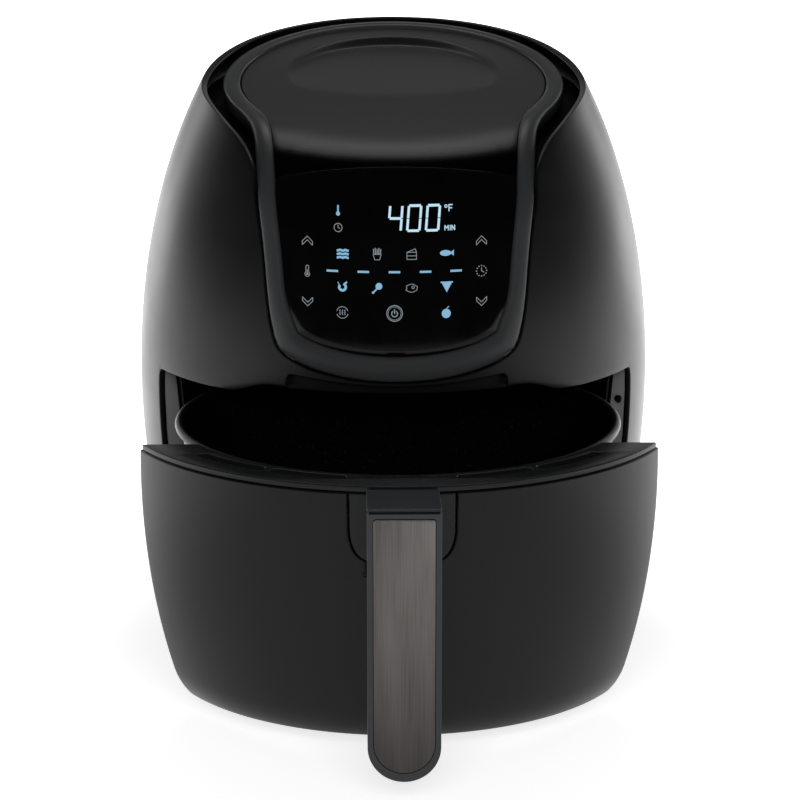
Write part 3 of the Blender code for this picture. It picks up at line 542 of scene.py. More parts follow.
@dataclass(frozen=True)
class MouldedPlastic(Finish):
    """Injection-moulded plastic with a spark-eroded grain: a soft sheen with faint clouds in it."""

    dark: str
    light: str
    roughness: float
    grain: float = 0.0011      # mould grain, drawn coarser than the real 0.1 mm so that it shows
    relief: float = 0.000012
    gloss: float = 0.18        # the fine grain swallows half of the mirror reflection

    def surface(self, tree: Tree) -> dict:
        """Make the shader's inputs."""
        clouds = speckle(tree, 0.035)
        grain = speckle(tree, self.grain, detail=1.0)
        colour = add_node(tree, "ShaderNodeMix", {0: clouds, 6: linear(self.dark), 7: linear(self.light)},
                          data_type='RGBA')
        sheen = add_node(tree, "ShaderNodeMapRange", {0: clouds, 1: 0.3, 2: 0.7, 3: self.roughness - 0.025,
                         4: self.roughness + 0.025})
        bump = add_node(tree, "ShaderNodeBump", {"Strength": 0.35, "Distance": self.relief,
                        "Height": grain})
        return {"Base Color": colour.outputs[2], "Roughness": sheen,
                "Normal": bump, "IOR": 1.5,
                "Specular IOR Level": self.gloss}


@dataclass(frozen=True)
class CoverWithPaintedShade(Finish):
    """Matt moulded lid skin that turns to polished black where it rolls over to the panel: the black, with
    its weak reflection, is painted shade whose edge curves back towards the sides.
    """

    dark: str
    light: str
    black: str
    shade_start: float
    shade_end: float
    smile: float = 4.6         # how fast the painted shade's edge moves back towards the sides, per metre

    def surface(self, tree: Tree) -> dict:
        """Make the shader's inputs."""
        place = add_node(tree, "ShaderNodeTexCoord")
        axes = add_node(tree, "ShaderNodeSeparateXYZ", {0: place.outputs["Object"]})
        square = add_node(tree, "ShaderNodeMath", {0: axes.outputs["X"], 1: 2.0}, operation='POWER')
        curved = add_node(tree, "ShaderNodeMath", {0: square, 1: -self.smile,
                          2: axes.outputs["Y"]}, operation='MULTIPLY_ADD')
        # painted shade: between its start and end the colour turns black and the reflection drops almost to
        # none
        painted_shade = add_node(tree, "ShaderNodeMapRange", {0: curved, 1: self.shade_start,
                        2: self.shade_end, 3: 0.0, 4: 1.0}, interpolation_type='SMOOTHSTEP')
        clouds = speckle(tree, 0.030)
        grain = speckle(tree, 0.0010, detail=1.0)
        matt = add_node(tree, "ShaderNodeMix", {0: clouds, 6: linear(self.dark), 7: linear(self.light)},
                        data_type='RGBA')
        colour = add_node(tree, "ShaderNodeMix", {0: painted_shade, 6: matt.outputs[2],
                          7: linear(self.black)}, data_type='RGBA')
        rough = add_node(tree, "ShaderNodeMapRange", {0: painted_shade, 3: 0.36, 4: 0.16})
        shine = add_node(tree, "ShaderNodeMapRange", {0: painted_shade, 3: 0.22, 4: 0.02})
        bump = add_node(tree, "ShaderNodeBump", {"Strength": 0.30, "Distance": 0.000012, "Height": grain})
        return {"Base Color": colour.outputs[2], "Roughness": rough,
                "Normal": bump, "IOR": 1.5, "Specular IOR Level": shine}


@dataclass(frozen=True)
class GlossAcrylic(Finish):
    """Black acrylic touch panel, polished: deep black, with faint wiping marks in the gloss."""

    colour: str

    def surface(self, tree: Tree) -> dict:
        """Make the shader's inputs."""
        marks = speckle(tree, 0.012, (1.0, 1.0, 0.35), 3.0)
        rough = add_node(tree, "ShaderNodeMapRange", {0: marks, 1: 0.35, 2: 0.75, 3: 0.055, 4: 0.12})
        tint = add_node(tree, "ShaderNodeMix", {0: marks, 6: linear(self.colour), 7: linear("070708")},
                        data_type='RGBA')
        return {"Base Color": tint.outputs[2], "Roughness": rough, "IOR": 1.49,
                "Specular IOR Level": 0.15}


@dataclass(frozen=True)
class BrushedMetal(Finish):
    """Dark anodised aluminium brushed upwards: fine vertical streaks that catch the light, and painted shade
    that darkens it towards the foot.
    """

    dark: str
    light: str
    roughness: float
    foot_shade: float = 0.33    # painted shade: the colour darkens towards the foot
    streak: float = 0.0004     # brush lines, drawn coarser than the real 0.1 mm so that they show

    def surface(self, tree: Tree) -> dict:
        """Make the shader's inputs."""
        streaks = speckle(tree, self.streak, (1.0, 1.0, 0.010), 2.0)
        patches = speckle(tree, 0.006, (1.0, 1.0, 0.12), 2.0)
        both = add_node(tree, "ShaderNodeMix", {0: 0.35, 2: streaks, 3: patches}, data_type='FLOAT')
        spread = add_node(tree, "ShaderNodeMapRange", {0: both, 1: 0.36, 2: 0.64})
        place = add_node(tree, "ShaderNodeTexCoord")
        axes = add_node(tree, "ShaderNodeSeparateXYZ", {0: place.outputs["Object"]})
        # painted shade: the colour is multiplied by the foot value at 2 cm, rising to one at 14 cm
        tone = add_node(tree, "ShaderNodeMapRange", {0: axes.outputs["Z"], 1: 0.02, 2: 0.14,
                        3: self.foot_shade, 4: 1.0})
        brushed = add_node(tree, "ShaderNodeMix", {0: spread, 6: linear(self.dark),
                           7: linear(self.light)}, data_type='RGBA')
        colour = add_node(tree, "ShaderNodeMix", {0: 1.0, 6: brushed.outputs[2], 7: tone},
                          data_type='RGBA', blend_type='MULTIPLY')
        rough = add_node(tree, "ShaderNodeMapRange", {0: streaks, 1: 0.3, 2: 0.7, 3: self.roughness - 0.05,
                         4: self.roughness + 0.07})
        bump = add_node(tree, "ShaderNodeBump", {"Strength": 0.35, "Distance": 0.00002, "Height": streaks})
        return {"Base Color": colour.outputs[2], "Metallic": 1.0,
                "Roughness": rough, "Normal": bump}


@dataclass(frozen=True)
class SheetMetal(Finish):
    """Rolled or zinc-dipped sheet: metal whose crystals or rolling marks differ a little in tone."""

    dark: str
    light: str
    roughness: float
    crystal: float             # size of one zinc crystal or mark

    def surface(self, tree: Tree) -> dict:
        """Make the shader's inputs."""
        place = add_node(tree, "ShaderNodeTexCoord")
        cells = add_node(tree, "ShaderNodeTexVoronoi", {"Vector": place.outputs["Object"],
                         "Scale": 1.0 / self.crystal})
        tone = add_node(tree, "ShaderNodeSeparateColor", {0: cells.outputs["Color"]})
        colour = add_node(tree, "ShaderNodeMix", {0: tone, 6: linear(self.dark),
                          7: linear(self.light)}, data_type='RGBA')
        rough = add_node(tree, "ShaderNodeMapRange", {0: tone.outputs[1], 3: self.roughness - 0.06,
                         4: self.roughness + 0.06})
        return {"Base Color": colour.outputs[2], "Metallic": 1.0,
                "Roughness": rough}


@dataclass(frozen=True)
class NonStickCoat(Finish):
    """Sprayed non-stick coating: near black with fine pale flecks and a smooth low sheen."""

    dark: str
    fleck: str
    roughness: float
    gloss: float

    def surface(self, tree: Tree) -> dict:
        """Make the shader's inputs."""
        spots = speckle(tree, 0.0016, detail=0.0)
        fleck = add_node(tree, "ShaderNodeMapRange", {0: spots, 1: 0.71, 2: 0.77})
        colour = add_node(tree, "ShaderNodeMix", {0: fleck, 6: linear(self.dark),
                          7: linear(self.fleck)}, data_type='RGBA')
        clouds = speckle(tree, 0.020)
        rough = add_node(tree, "ShaderNodeMapRange", {0: clouds, 1: 0.3, 2: 0.7, 3: self.roughness - 0.04,
                         4: self.roughness + 0.04})
        bump = add_node(tree, "ShaderNodeBump", {"Strength": 0.2, "Distance": 0.00002, "Height": clouds})
        return {"Base Color": colour.outputs[2], "Roughness": rough,
                "Normal": bump, "IOR": 1.45,
                "Specular IOR Level": self.gloss}


@dataclass(frozen=True)
class SolderResist(Finish):
    """Green lacquered circuit board with copper tracks showing through as lighter lines."""

    dark: str
    light: str

    def surface(self, tree: Tree) -> dict:
        """Make the shader's inputs."""
        place = add_node(tree, "ShaderNodeTexCoord")
        tracks = add_node(tree, "ShaderNodeTexBrick", {"Vector": place.outputs["Object"], "Scale": 120.0,
                          "Color1": linear(self.dark), "Color2": linear(self.dark),
                          "Mortar": linear(self.light), "Mortar Size": 0.06})
        return {"Base Color": tracks.outputs["Color"], "Roughness": 0.4, "IOR": 1.5}


@dataclass(frozen=True)
class GlowInk(Finish):
    """Light shining through clear openings in the panel's backing ink, a little uneven."""

    colour: str
    shade: str
    strength: float

    def surface(self, tree: Tree) -> dict:
        """Make the shader's inputs."""
        clouds = speckle(tree, 0.004)
        glow = add_node(tree, "ShaderNodeMix", {0: clouds, 6: linear(self.shade), 7: linear(self.colour)},
                        data_type='RGBA')
        return {"Base Color": linear("050505"), "Roughness": 0.3,
                "Emission Color": glow.outputs[2], "Emission Strength": self.strength}


@dataclass(frozen=True)
class LightTable(Finish):
    """White acrylic floor lit from below, so that it stays pale to the horizon."""

    colour: str
    glow: float
    side_glow: float

    def surface(self, tree: Tree) -> dict:
        """Make the shader's inputs."""
        clouds = speckle(tree, 0.9)
        rough = add_node(tree, "ShaderNodeMapRange", {0: clouds, 3: 0.75, 4: 0.85})
        place = add_node(tree, "ShaderNodeTexCoord")
        axes = add_node(tree, "ShaderNodeSeparateXYZ", {0: place.outputs["Object"]})
        beside = add_node(tree, "ShaderNodeMath", {0: axes.outputs["X"]}, operation='ABSOLUTE')
        away = add_node(tree, "ShaderNodeMath", {0: axes.outputs["Y"], 1: 0.8, 2: beside},
                        operation='MULTIPLY_ADD')
        light = add_node(tree, "ShaderNodeMapRange", {0: away, 1: 0.1, 2: 0.7, 3: self.glow,
                         4: self.side_glow}, interpolation_type='SMOOTHSTEP')
        return {"Base Color": linear(self.colour), "Roughness": rough,
                "Emission Color": linear("ffffff"),
                "Emission Strength": light}


SHELL_ABS = MouldedPlastic("satin_black_abs", "0c0c0d", "0f0f10", 0.32)
TRIM_ABS = MouldedPlastic("satin_charcoal_abs", "2a2b2c", "303132", 0.34)
DECK_ABS = MouldedPlastic("smooth_black_abs", "111213", "141516", 0.27)
HANDLE_ABS = MouldedPlastic("satin_graphite_abs", "2a2b2d", "303133", 0.36)
INNER_PP = MouldedPlastic("dull_black_polypropylene", "0a0a0b", "0e0e0f", 0.50)
POST_PP = MouldedPlastic("grey_polypropylene", "525253", "585859", 0.45)
# painted shade: near-black with almost no reflection, so that the inlet ring seen in the gap beside the band
# and the troughs under the deck's slots stay dark
BLACK_PP_AND_GAP_SHADE = MouldedPlastic("deep_black_polypropylene_and_painted_gap_shade", "020202", "030303", 0.60, gloss=0.04)
# the cover's black towards the panel is painted shade
COVER_SKIN = CoverWithPaintedShade("matt_lid_skin_with_painted_shade", "101111", "141515", "020202",
                         HOUSING_Y - 0.0965, HOUSING_Y - 0.1060)
PANEL_ACRYLIC = GlossAcrylic("gloss_black_acrylic", "020202")
ZINC = SheetMetal("galvanised_steel_sheet", "8b8e90", "a5a8aa", 0.42, 0.007)
ENAMEL = NonStickCoat("black_enamelled_sheet", "0a0a0a", "101010", 0.42, 0.20)
PLAIN_STEEL = SheetMetal("rolled_stainless_steel", "a3a3a2", "b5b5b4", 0.30, 0.003)
HEATER_TUBE = SheetMetal("oxidised_incoloy_tube", "4b4743", "5f5a54", 0.48, 0.004)
PAN_COAT = NonStickCoat("black_non_stick_coating", "040404", "121212", 0.34, 0.10)
INLAY_METAL = BrushedMetal("dark_brushed_aluminium", "65615f", "7e7a78", 0.42)
BOARD = SolderResist("green_solder_resist", "0b3d22", "14603a")
FOOT_RUBBER = MouldedPlastic("black_foot_rubber", "101010", "141414", 0.75, 0.0016, 0.00003)
SOFT_SILICONE = MouldedPlastic("black_silicone", "181818", "1c1c1c", 0.58, 0.0016, 0.00002)
DIGIT_GLOW = GlowInk("digit_light", "d5f1ff", "b4e2fb", 0.95)
ICON_GLOW = GlowInk("icon_light", "9fd3f2", "82bbe0", 0.80)
LINE_GLOW = GlowInk("line_light", "b9c4cb", "9fabb4", 0.55)


@dataclass
class Maker:
    """Dresses finished pieces and keeps the list of them."""

    made: list[Piece] = field(default_factory=list)

    def dress(self, obj: Piece, finish: Finish, body: Body, slot: Slot,
              *nodes: str, sharp: float = 35.0) -> Piece:
        """Give a piece its finish and body, and hide the CAD nodes it stands for.

        Args:
            obj: the finished plain mesh.
            finish: what it is made of.
            body: the body it rides on.
            slot: the record's slot it takes its finish from; not used.
            nodes: the CAD nodes it stands for.
            sharp: edges that turn by more than this many degrees stay sharp.

        Returns:
            The piece.
        """
        obj.data.materials.clear()
        obj.data.materials.append(finish.material())
        obj.data.shade_smooth()
        obj.data.set_sharp_from_angle(angle=math.radians(sharp))
        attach(obj, body.value)
        if nodes:
            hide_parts(*nodes)
        self.made.append(obj)
        LOG.info("%s: %d faces", obj.name, len(obj.data.polygons))
        return obj

    def coat(self, finish: Finish, *nodes: str) -> None:
        """Give CAD nodes that stay as they are their finish."""
        for node in nodes:
            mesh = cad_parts[node].data
            mesh.materials.clear()
            mesh.materials.append(finish.material())
            mesh.shade_smooth()
            mesh.set_sharp_from_angle(angle=math.radians(35.0))
            LOG.info("%s: carried over", node)


MAKER = Maker()


# ---- forms ----

@dataclass(frozen=True)
class EggForm:
    """Egg of the housing, measured from its upright axis."""

    waist_radius: float = 0.145
    waist_z: float = 0.130
    half_up: float = 0.248
    half_down: float = 0.254
    rear_stretch: float = 1.15
    edge_top_z: float = 0.024
    bottom_z: float = 0.006
    edge_inset: float = 0.0095

    def radius(self, z: Array | float) -> Array:
        """Radius at height z, with the rounded bottom edge."""
        z = np.asarray(z, float)
        half = np.where(z > self.waist_z, self.half_up, self.half_down)
        radius = self.waist_radius * np.sqrt(np.maximum(1.0 - ((z - self.waist_z) / half) ** 2, 1e-9))
        drop = np.clip((self.edge_top_z - z) / (self.edge_top_z - self.bottom_z), 0.0, 1.0)
        return radius - self.edge_inset * (1.0 - np.sqrt(1.0 - 0.96 * drop * drop))

    def point(self, turn: Array, z: Array, inset: Array | float = 0.0) -> Array:
        """Points on the egg.

        Args:
            turn: plan angle from the front.
            z: height.
            inset: distance inside the egg's surface, along its radius.

        Returns:
            An array whose last axis is x, y, z.
        """
        turn, z, inset = np.broadcast_arrays(np.asarray(turn, float), z, inset)
        radius = self.radius(z) - inset
        y = -radius * np.cos(turn)
        y = np.where(y > 0.0, y * self.rear_stretch, y)
        return np.stack([radius * np.sin(turn), y, z], axis=-1)

    def normal(self, points: Array) -> Array:
        """Outward directions of the egg at points on it."""
        x, y, z = np.moveaxis(points, -1, 0)
        stretch = np.where(y > 0.0, self.rear_stretch, 1.0)
        rho = np.sqrt(x * x + (y / stretch) ** 2)
        step = 0.0004
        slope = (self.radius(z + step) - self.radius(z - step)) / (2.0 * step)
        return unit(np.stack([x / rho, y / (stretch ** 2 * rho), -slope], axis=-1))

    def opening_turn(self, z: Array | float, y: float = BAY_Y) -> Array:
        """Plan angle where an upright plane meets the egg at height z."""
        return np.arccos(-y / self.radius(z))


EGG = EggForm()


@dataclass(frozen=True)
class LidForm:
    """Shallow dome on a tilted plane, rounded into the front of the egg."""

    height: float = 0.294
    slope: float = 0.225
    crown: float = 0.004
    radius: float = 0.096
    centre_y: float = 0.002
    blend: float = 0.032
    fan_y: float = -0.020
    fan_z: float = 0.180
    band_width: float = 0.010
    band_widening: float = 0.0032

    def top(self, x: Array, y: Array) -> Array:
        """Height of the lid's top over (x, y)."""
        return (self.height + self.slope * y
                + self.crown * (1.0 - (x * x + y * y) / self.radius ** 2))

    def gap(self, x: Array, y: Array, z: Array) -> Array:
        """Distance-like value: zero on the lid, negative inside."""
        above = z - self.top(x, y)
        ahead = -y - np.sqrt(np.maximum(EGG.radius(z) ** 2 - x * x, 0.0))
        bend = np.hypot(np.maximum(above + self.blend, 0.0), np.maximum(ahead + self.blend, 0.0))
        inside = (above < -self.blend) & (ahead < -self.blend)
        return np.where(inside, np.maximum(above, ahead), bend - self.blend)

    def normal(self, points: Array) -> Array:
        """Outward directions of the lid at points on it."""
        x, y, z = np.moveaxis(points, -1, 0)
        d = 0.0005
        return unit(np.stack([self.gap(x + d, y, z) - self.gap(x - d, y, z),
                              self.gap(x, y + d, z) - self.gap(x, y - d, z),
                              self.gap(x, y, z + d) - self.gap(x, y, z - d)], axis=-1))

    def point(self, x: Array, turn: Array, sink: float = 0.0) -> Array:
        """Points on the lid where a fan of leaning rays meets it.

        Args:
            x: half width.
            turn: lean of the ray towards the front.
            sink: distance below the lid.

        Returns:
            An array whose last axis is x, y, z.
        """
        x, turn = np.broadcast_arrays(np.asarray(x, float), np.asarray(turn, float))
        across, up = -np.sin(turn), np.cos(turn)
        limit = EGG.waist_z + EGG.half_up * 0.98

        def inside(reach: Array) -> Array:
            """Whether the lid lies beyond a reach along each ray."""
            y, z = self.fan_y + across * reach, self.fan_z + up * reach
            return (z < limit) & (self.gap(x, y, z) < 0.0)

        near = edge_between(inside, np.zeros_like(x), np.full_like(x, 0.20), 40)
        points = np.stack([x, self.fan_y + across * near, self.fan_z + up * near], axis=-1)
        return points - self.normal(points) * sink

    def lean(self, y: Array, z: Array) -> Array:
        """Lean of the ray through (y, z)."""
        return np.arctan2(self.fan_y - y, z - self.fan_z)

    def front_y(self, x: Array, z: Array) -> Array:
        """Depth of the lid's front at (x, z)."""
        return edge_between(lambda y: self.gap(x, y, z) < 0.0, np.full(np.shape(x), -0.060),
                            np.full(np.shape(x), -0.160))

    def width(self, z: Array) -> Array:
        """Width of the band at height z: it widens round the foot of the panel."""
        return self.band_width + self.band_widening * ease((0.202 - z) / 0.028)

    def stations(self) -> tuple[Array, Array, Array]:
        """Closed loop of the band's outer edge.

        Returns:
            Its points, their directions towards the band's inside, and the lid's normals.
        """
        rim = arc(self.radius, 90.0, -27.0, 56, (0.0, self.centre_y))
        rim[0, 0] = 0.0
        line = np.column_stack([rim[:, 0], self.lean(rim[:, 1], self.top(rim[:, 0], rim[:, 1]))])
        front = np.array([(0.0742, 0.258), (0.0737, 0.247), (0.0717, 0.231), (0.0701, 0.216),
                          (0.0685, 0.1975), (0.0664, 0.1830), (0.0622, 0.1712), (0.0512, 0.1640),
                          (0.0354, 0.1592), (0.0180, 0.1566), (0.0, 0.1558)])
        y = -np.sqrt(EGG.radius(front[:, 1]) ** 2 - front[:, 0] ** 2)
        shoulder = (0.0775, float(self.lean(-0.066, self.top(0.0775, -0.066))))
        neck = [tuple(line[-1]), shoulder, *zip(front[:, 0], self.lean(y, front[:, 1]))]
        half = np.vstack([line[:-1], flowing_line(neck, 9)])
        half[-1, 0] = 0.0
        loop = np.vstack([half, half[-2:0:-1] * (-1.0, 1.0)])
        points = self.point(loop[:, 0], loop[:, 1])
        normals = self.normal(points)
        along = unit(np.roll(points, -1, axis=0) - np.roll(points, 1, axis=0))
        inward = unit(np.cross(normals, along))
        towards = np.sum(inward * (np.array([0.0, -0.030, 0.290]) - points), axis=1)
        inward *= np.where(towards < 0.0, -1.0, 1.0)[:, None]
        return points, inward, normals

    def inner_loop(self, gap: float) -> Array:
        """Closed loop that lies gap inside the band's inner edge, as (half width, lean)."""
        points, inward, _ = self.stations()
        spot = points + inward * (self.width(points[:, 2]) + gap)[:, None]
        return np.column_stack([spot[:, 0], self.lean(spot[:, 1], spot[:, 2])])


LID = LidForm()


# ---- rounded sheets ----

RIM_STEPS = np.array([0.0, 0.10, 0.32, 0.62, 1.0])     # shares of the edge radius, edge first


def rim_inset(distance: Array, radius: float) -> Array:
    """Depth of a rounded edge at a distance from the edge."""
    left = radius - np.clip(distance, 0.0, radius)
    return radius - np.sqrt(np.maximum(radius * radius - left * left, 0.0))


def toothed(low: float, high: float, count: int, radius: float) -> Array:
    """Places from low to high, close together near both ends.

    Args:
        low: first place.
        high: last place.
        count: number of even steps between the close ones.
        radius: width of the close group at each end.

    Returns:
        The places in order.
    """
    close = RIM_STEPS * radius
    even = np.linspace(low + radius, high - radius, count + 1)[1:-1]
    return np.concatenate([low + close, even, (high - close)[::-1]])


def shifted(obj: Piece, y: float) -> Piece:
    """Move an object's mesh along Y."""
    obj.data.transform(Matrix.Translation((0.0, y, 0.0)))
    return obj


# ---- housing ----

@dataclass
class HousingShell:
    """One-piece moulded outer shell with the drawer opening, the notch and the rear vent."""

    wall: float = 0.0025
    lip: float = 0.0036
    edge: float = 0.0006
    corner_z: float = 0.1442
    corner_radius: float = 0.0040
    rise: float = 0.0063
    rise_start: float = 0.0915
    rise_width: float = 0.0240
    notch_half: float = 0.0585
    notch_z: float = 0.1534
    notch_arch: float = 0.0040
    notch_reach: float = 0.056     # half width over which the arch rises
    notch_limit: float = 0.1572
    notch_round: float = 0.0022
    belt_z: float = 0.1550         # height where the grid's upper and lower parts meet
    top_z: float = 0.3185
    rim_radius: float = 0.1448     # the egg's radius beside the opening's upper edge
    vent_half: float = 0.302
    vent_low: float = 0.175
    vent_high: float = 0.235
    inlet_half: float = 0.0549
    inlet_low: float = 0.0375
    inlet_high: float = 0.0525
    tongue: tuple = ((0.0, 0.1549), (0.0180, 0.1557), (0.0356, 0.1583), (0.0518, 0.1631),
                     (0.0631, 0.1706), (0.0673, 0.1828), (0.0694, 0.1975), (0.0710, 0.216),
                     (0.0728, 0.231), (0.0754, 0.247))
    collar: tuple = ((38.4, 0.262), (45.0, 0.2747), (54.1, 0.2826), (64.4, 0.2886), (77.0, 0.2936),
                     (90.0, 0.2985), (105.0, 0.3048), (120.0, 0.3100), (135.0, 0.3138),
                     (150.0, 0.3165), (165.0, 0.3180), (180.0, 0.3185))

    def top_line(self) -> Array:
        """Line of the upper edge as (turn, height), front to back."""
        x, z = np.array(self.tongue).T
        front = np.column_stack([np.arcsin(x / EGG.radius(z)), z])
        rear = np.array([(math.radians(angle), z) for angle, z in self.collar])
        return flowing_line([*map(tuple, front), *map(tuple, rear)], 7)

    def lower_edge(self, turn: Array, corner_turn: float) -> Array:
        """Height of the opening's upper edge, with its rounded corners."""
        x = EGG.radius(self.corner_z) * np.sin(turn)
        rise = self.rise * ease((self.rise_start - x) / self.rise_width)
        away = (corner_turn - turn) * self.rim_radius
        left = np.clip(self.corner_radius - away, 0.0, self.corner_radius)
        fillet = self.corner_radius - np.sqrt(self.corner_radius ** 2 - left * left)
        return self.corner_z + rise - fillet

    def notch_edge(self, x: Array) -> Array:
        """Height of the notch's upper edge with rounded ends."""
        arch = self.notch_z + self.notch_arch * (x / self.notch_reach) ** 2
        curve = self.notch_round
        left = np.clip(x - (self.notch_half - curve), 0.0, curve)
        return np.minimum(arch, self.notch_limit) - (curve - np.sqrt(curve ** 2 - left * left))

    def columns(self, line: Array, corner: float, notch_turn: float) -> Array:
        """Plan angles of the grid's columns, close together at every edge.

        Args:
            line: the upper edge as (turn, height).
            corner: turn of the opening's side.
            notch_turn: turn of the notch's end.

        Returns:
            The angles from the front to the back.
        """
        rim = self.edge / self.rim_radius
        keys = [notch_turn + RIM_STEPS * rim * 1.2, notch_turn - np.linspace(0.0, 0.016, 6),
                corner + RIM_STEPS * rim, corner - np.linspace(0.0, 0.028, 9)]
        keys.append([math.pi - half for half in (self.vent_half, self.inlet_half)])
        keys.append(np.linspace(corner + 0.012, math.pi, 100))
        keys.append(line[:, 0][line[:, 0] < corner - 0.03])
        turns = np.unique(np.round(np.concatenate([np.asarray(k, float) for k in keys]), 6))
        turns = turns[np.concatenate([[True], np.diff(turns) > 2e-4])]
        turns[-1] = math.pi
        return turns

    def kept_cells(self, heights: Array, turns: Array, bays: Iterable[tuple[int, int]]) -> Array:
        """Cells of the grid that hold wall.

        Args:
            heights: height of every point.
            turns: plan angle of every column.
            bays: first row and end column of each opening at the front.

        Returns:
            True for each cell that is kept.
        """
        keep = np.ones((len(heights) - 1, len(turns) - 1), bool)
        for row, column in bays:
            keep[row:, :column] = False
        rear_z = heights[:, -1]
        for half, low, high in ((self.vent_half, self.vent_low, self.vent_high),
                                (self.inlet_half, self.inlet_low, self.inlet_high)):
            inside = (rear_z[:-1] <= high + 1e-4) & (rear_z[1:] >= low - 1e-4)
            edge = np.argmin(np.abs(turns - (math.pi - half)))
            keep[np.flatnonzero(inside)[:, None], np.arange(edge, len(turns) - 1)] = False
        return keep

    def build(self) -> None:
        """Make and dress the shell."""
        line = self.top_line()
        low_z = self.corner_z - self.corner_radius
        corner = float(EGG.opening_turn(low_z))
        notch_turn = math.asin(self.notch_half / float(EGG.radius(self.belt_z)))
        turns = self.columns(line, corner, notch_turn)
        notch_edge = int(np.argmin(np.abs(turns - notch_turn)))
        corner_edge = int(np.argmin(np.abs(turns - corner)))

        top = np.interp(turns, line[:, 0], line[:, 1])
        slope = np.hypot(1.0, np.gradient(top, turns * 0.14))
        x = EGG.radius(self.belt_z) * np.sin(turns)
        in_notch = np.arange(len(turns)) <= notch_edge
        middle_z = np.where(in_notch, self.notch_edge(np.minimum(x, self.notch_half)), self.belt_z)
        foot = np.where(turns > corner, low_z, self.lower_edge(np.minimum(turns, corner), corner))
        vents = [(self.top_z - z) / (self.top_z - self.belt_z) for z in (self.vent_high, self.vent_low)]
        shares = np.unique(np.concatenate([np.linspace(0.0, vents[0], 15),
                                           np.linspace(vents[0], vents[1], 11),
                                           np.linspace(vents[1], 1.0, 5)]))[1:-1]
        rows = [top - self.edge * step * slope for step in RIM_STEPS]
        start, end = rows[-1], middle_z + self.edge
        start = np.maximum(start, end + 0.0001)
        rows += [start + (end - start) * share for share in shares]
        rows += [middle_z + self.edge * step for step in RIM_STEPS[::-1]]
        first_low = len(rows)
        spread = middle_z - foot
        rows += [middle_z - spread * share for share in (0.3, 0.6)]
        rows += [foot + np.minimum(self.edge, spread * 0.3) * step for step in RIM_STEPS[::-1]]
        heights = np.array(rows)
        angles = np.broadcast_to(turns, heights.shape)
        lower = np.array([0.136, 0.130, 0.122, 0.112, 0.102, 0.092, 0.082, 0.072, 0.062,
                          self.inlet_high, 0.045, self.inlet_low, 0.030, 0.024, 0.0205, 0.0172,
                          0.0145, 0.0122, 0.0102, 0.0086, 0.0074, 0.0066, 0.0062, 0.0060])
        share = np.clip((math.pi - turns) / (math.pi - corner), 0.0, 1.0)
        low_angles = math.pi - share * (math.pi - EGG.opening_turn(lower)[:, None])
        heights = np.vstack([heights, np.broadcast_to(lower[:, None], low_angles.shape)])
        angles = np.vstack([angles, low_angles])

        above = (top - heights) / slope
        below = np.where(in_notch & (np.arange(len(heights)) < first_low + 1)[:, None],
                         heights - middle_z, 1.0)
        opening = np.where(turns < corner, heights - foot, 1.0)
        side = np.where(heights <= low_z + 1e-6,
                        (angles - EGG.opening_turn(heights)) * EGG.radius(heights), 1.0)
        notch_side = np.where((heights < middle_z + self.edge * 0.5) & ~in_notch,
                              (turns - turns[notch_edge]) * 0.144, 1.0)
        near = np.minimum.reduce([above, below, opening, np.abs(side), notch_side])
        inset = rim_inset(np.maximum(near, 0.0), self.edge)[..., None]
        outer = EGG.point(angles, heights)
        normals = EGG.normal(outer)
        at_side = ease((angles - 0.60) / 0.15) * ease((2.3 - angles) / 0.5)
        thick = self.wall + (self.lip - self.wall) * at_side * ease((0.010 - (top - heights)) / 0.004)
        inner = outer - normals * (thick[..., None] - inset)
        outer = outer - normals * inset

        keep = self.kept_cells(heights, turns, ((first_low - 1, notch_edge),
                                                (len(rows) - 1, corner_edge)))
        flip = np.array([-1.0, 1.0, 1.0])
        outer = np.concatenate([(outer * flip)[:, :0:-1], outer], axis=1)
        inner = np.concatenate([(inner * flip)[:, :0:-1], inner], axis=1)
        keep = np.concatenate([keep[:, ::-1], keep], axis=1)
        shell = sheet("visual_outer_shell", outer, inner, keep)
        MAKER.dress(shifted(shell, HOUSING_Y), SHELL_ABS, Body.HOUSING, Slot.SHELL, "outer_shell",
                    sharp=55.0)


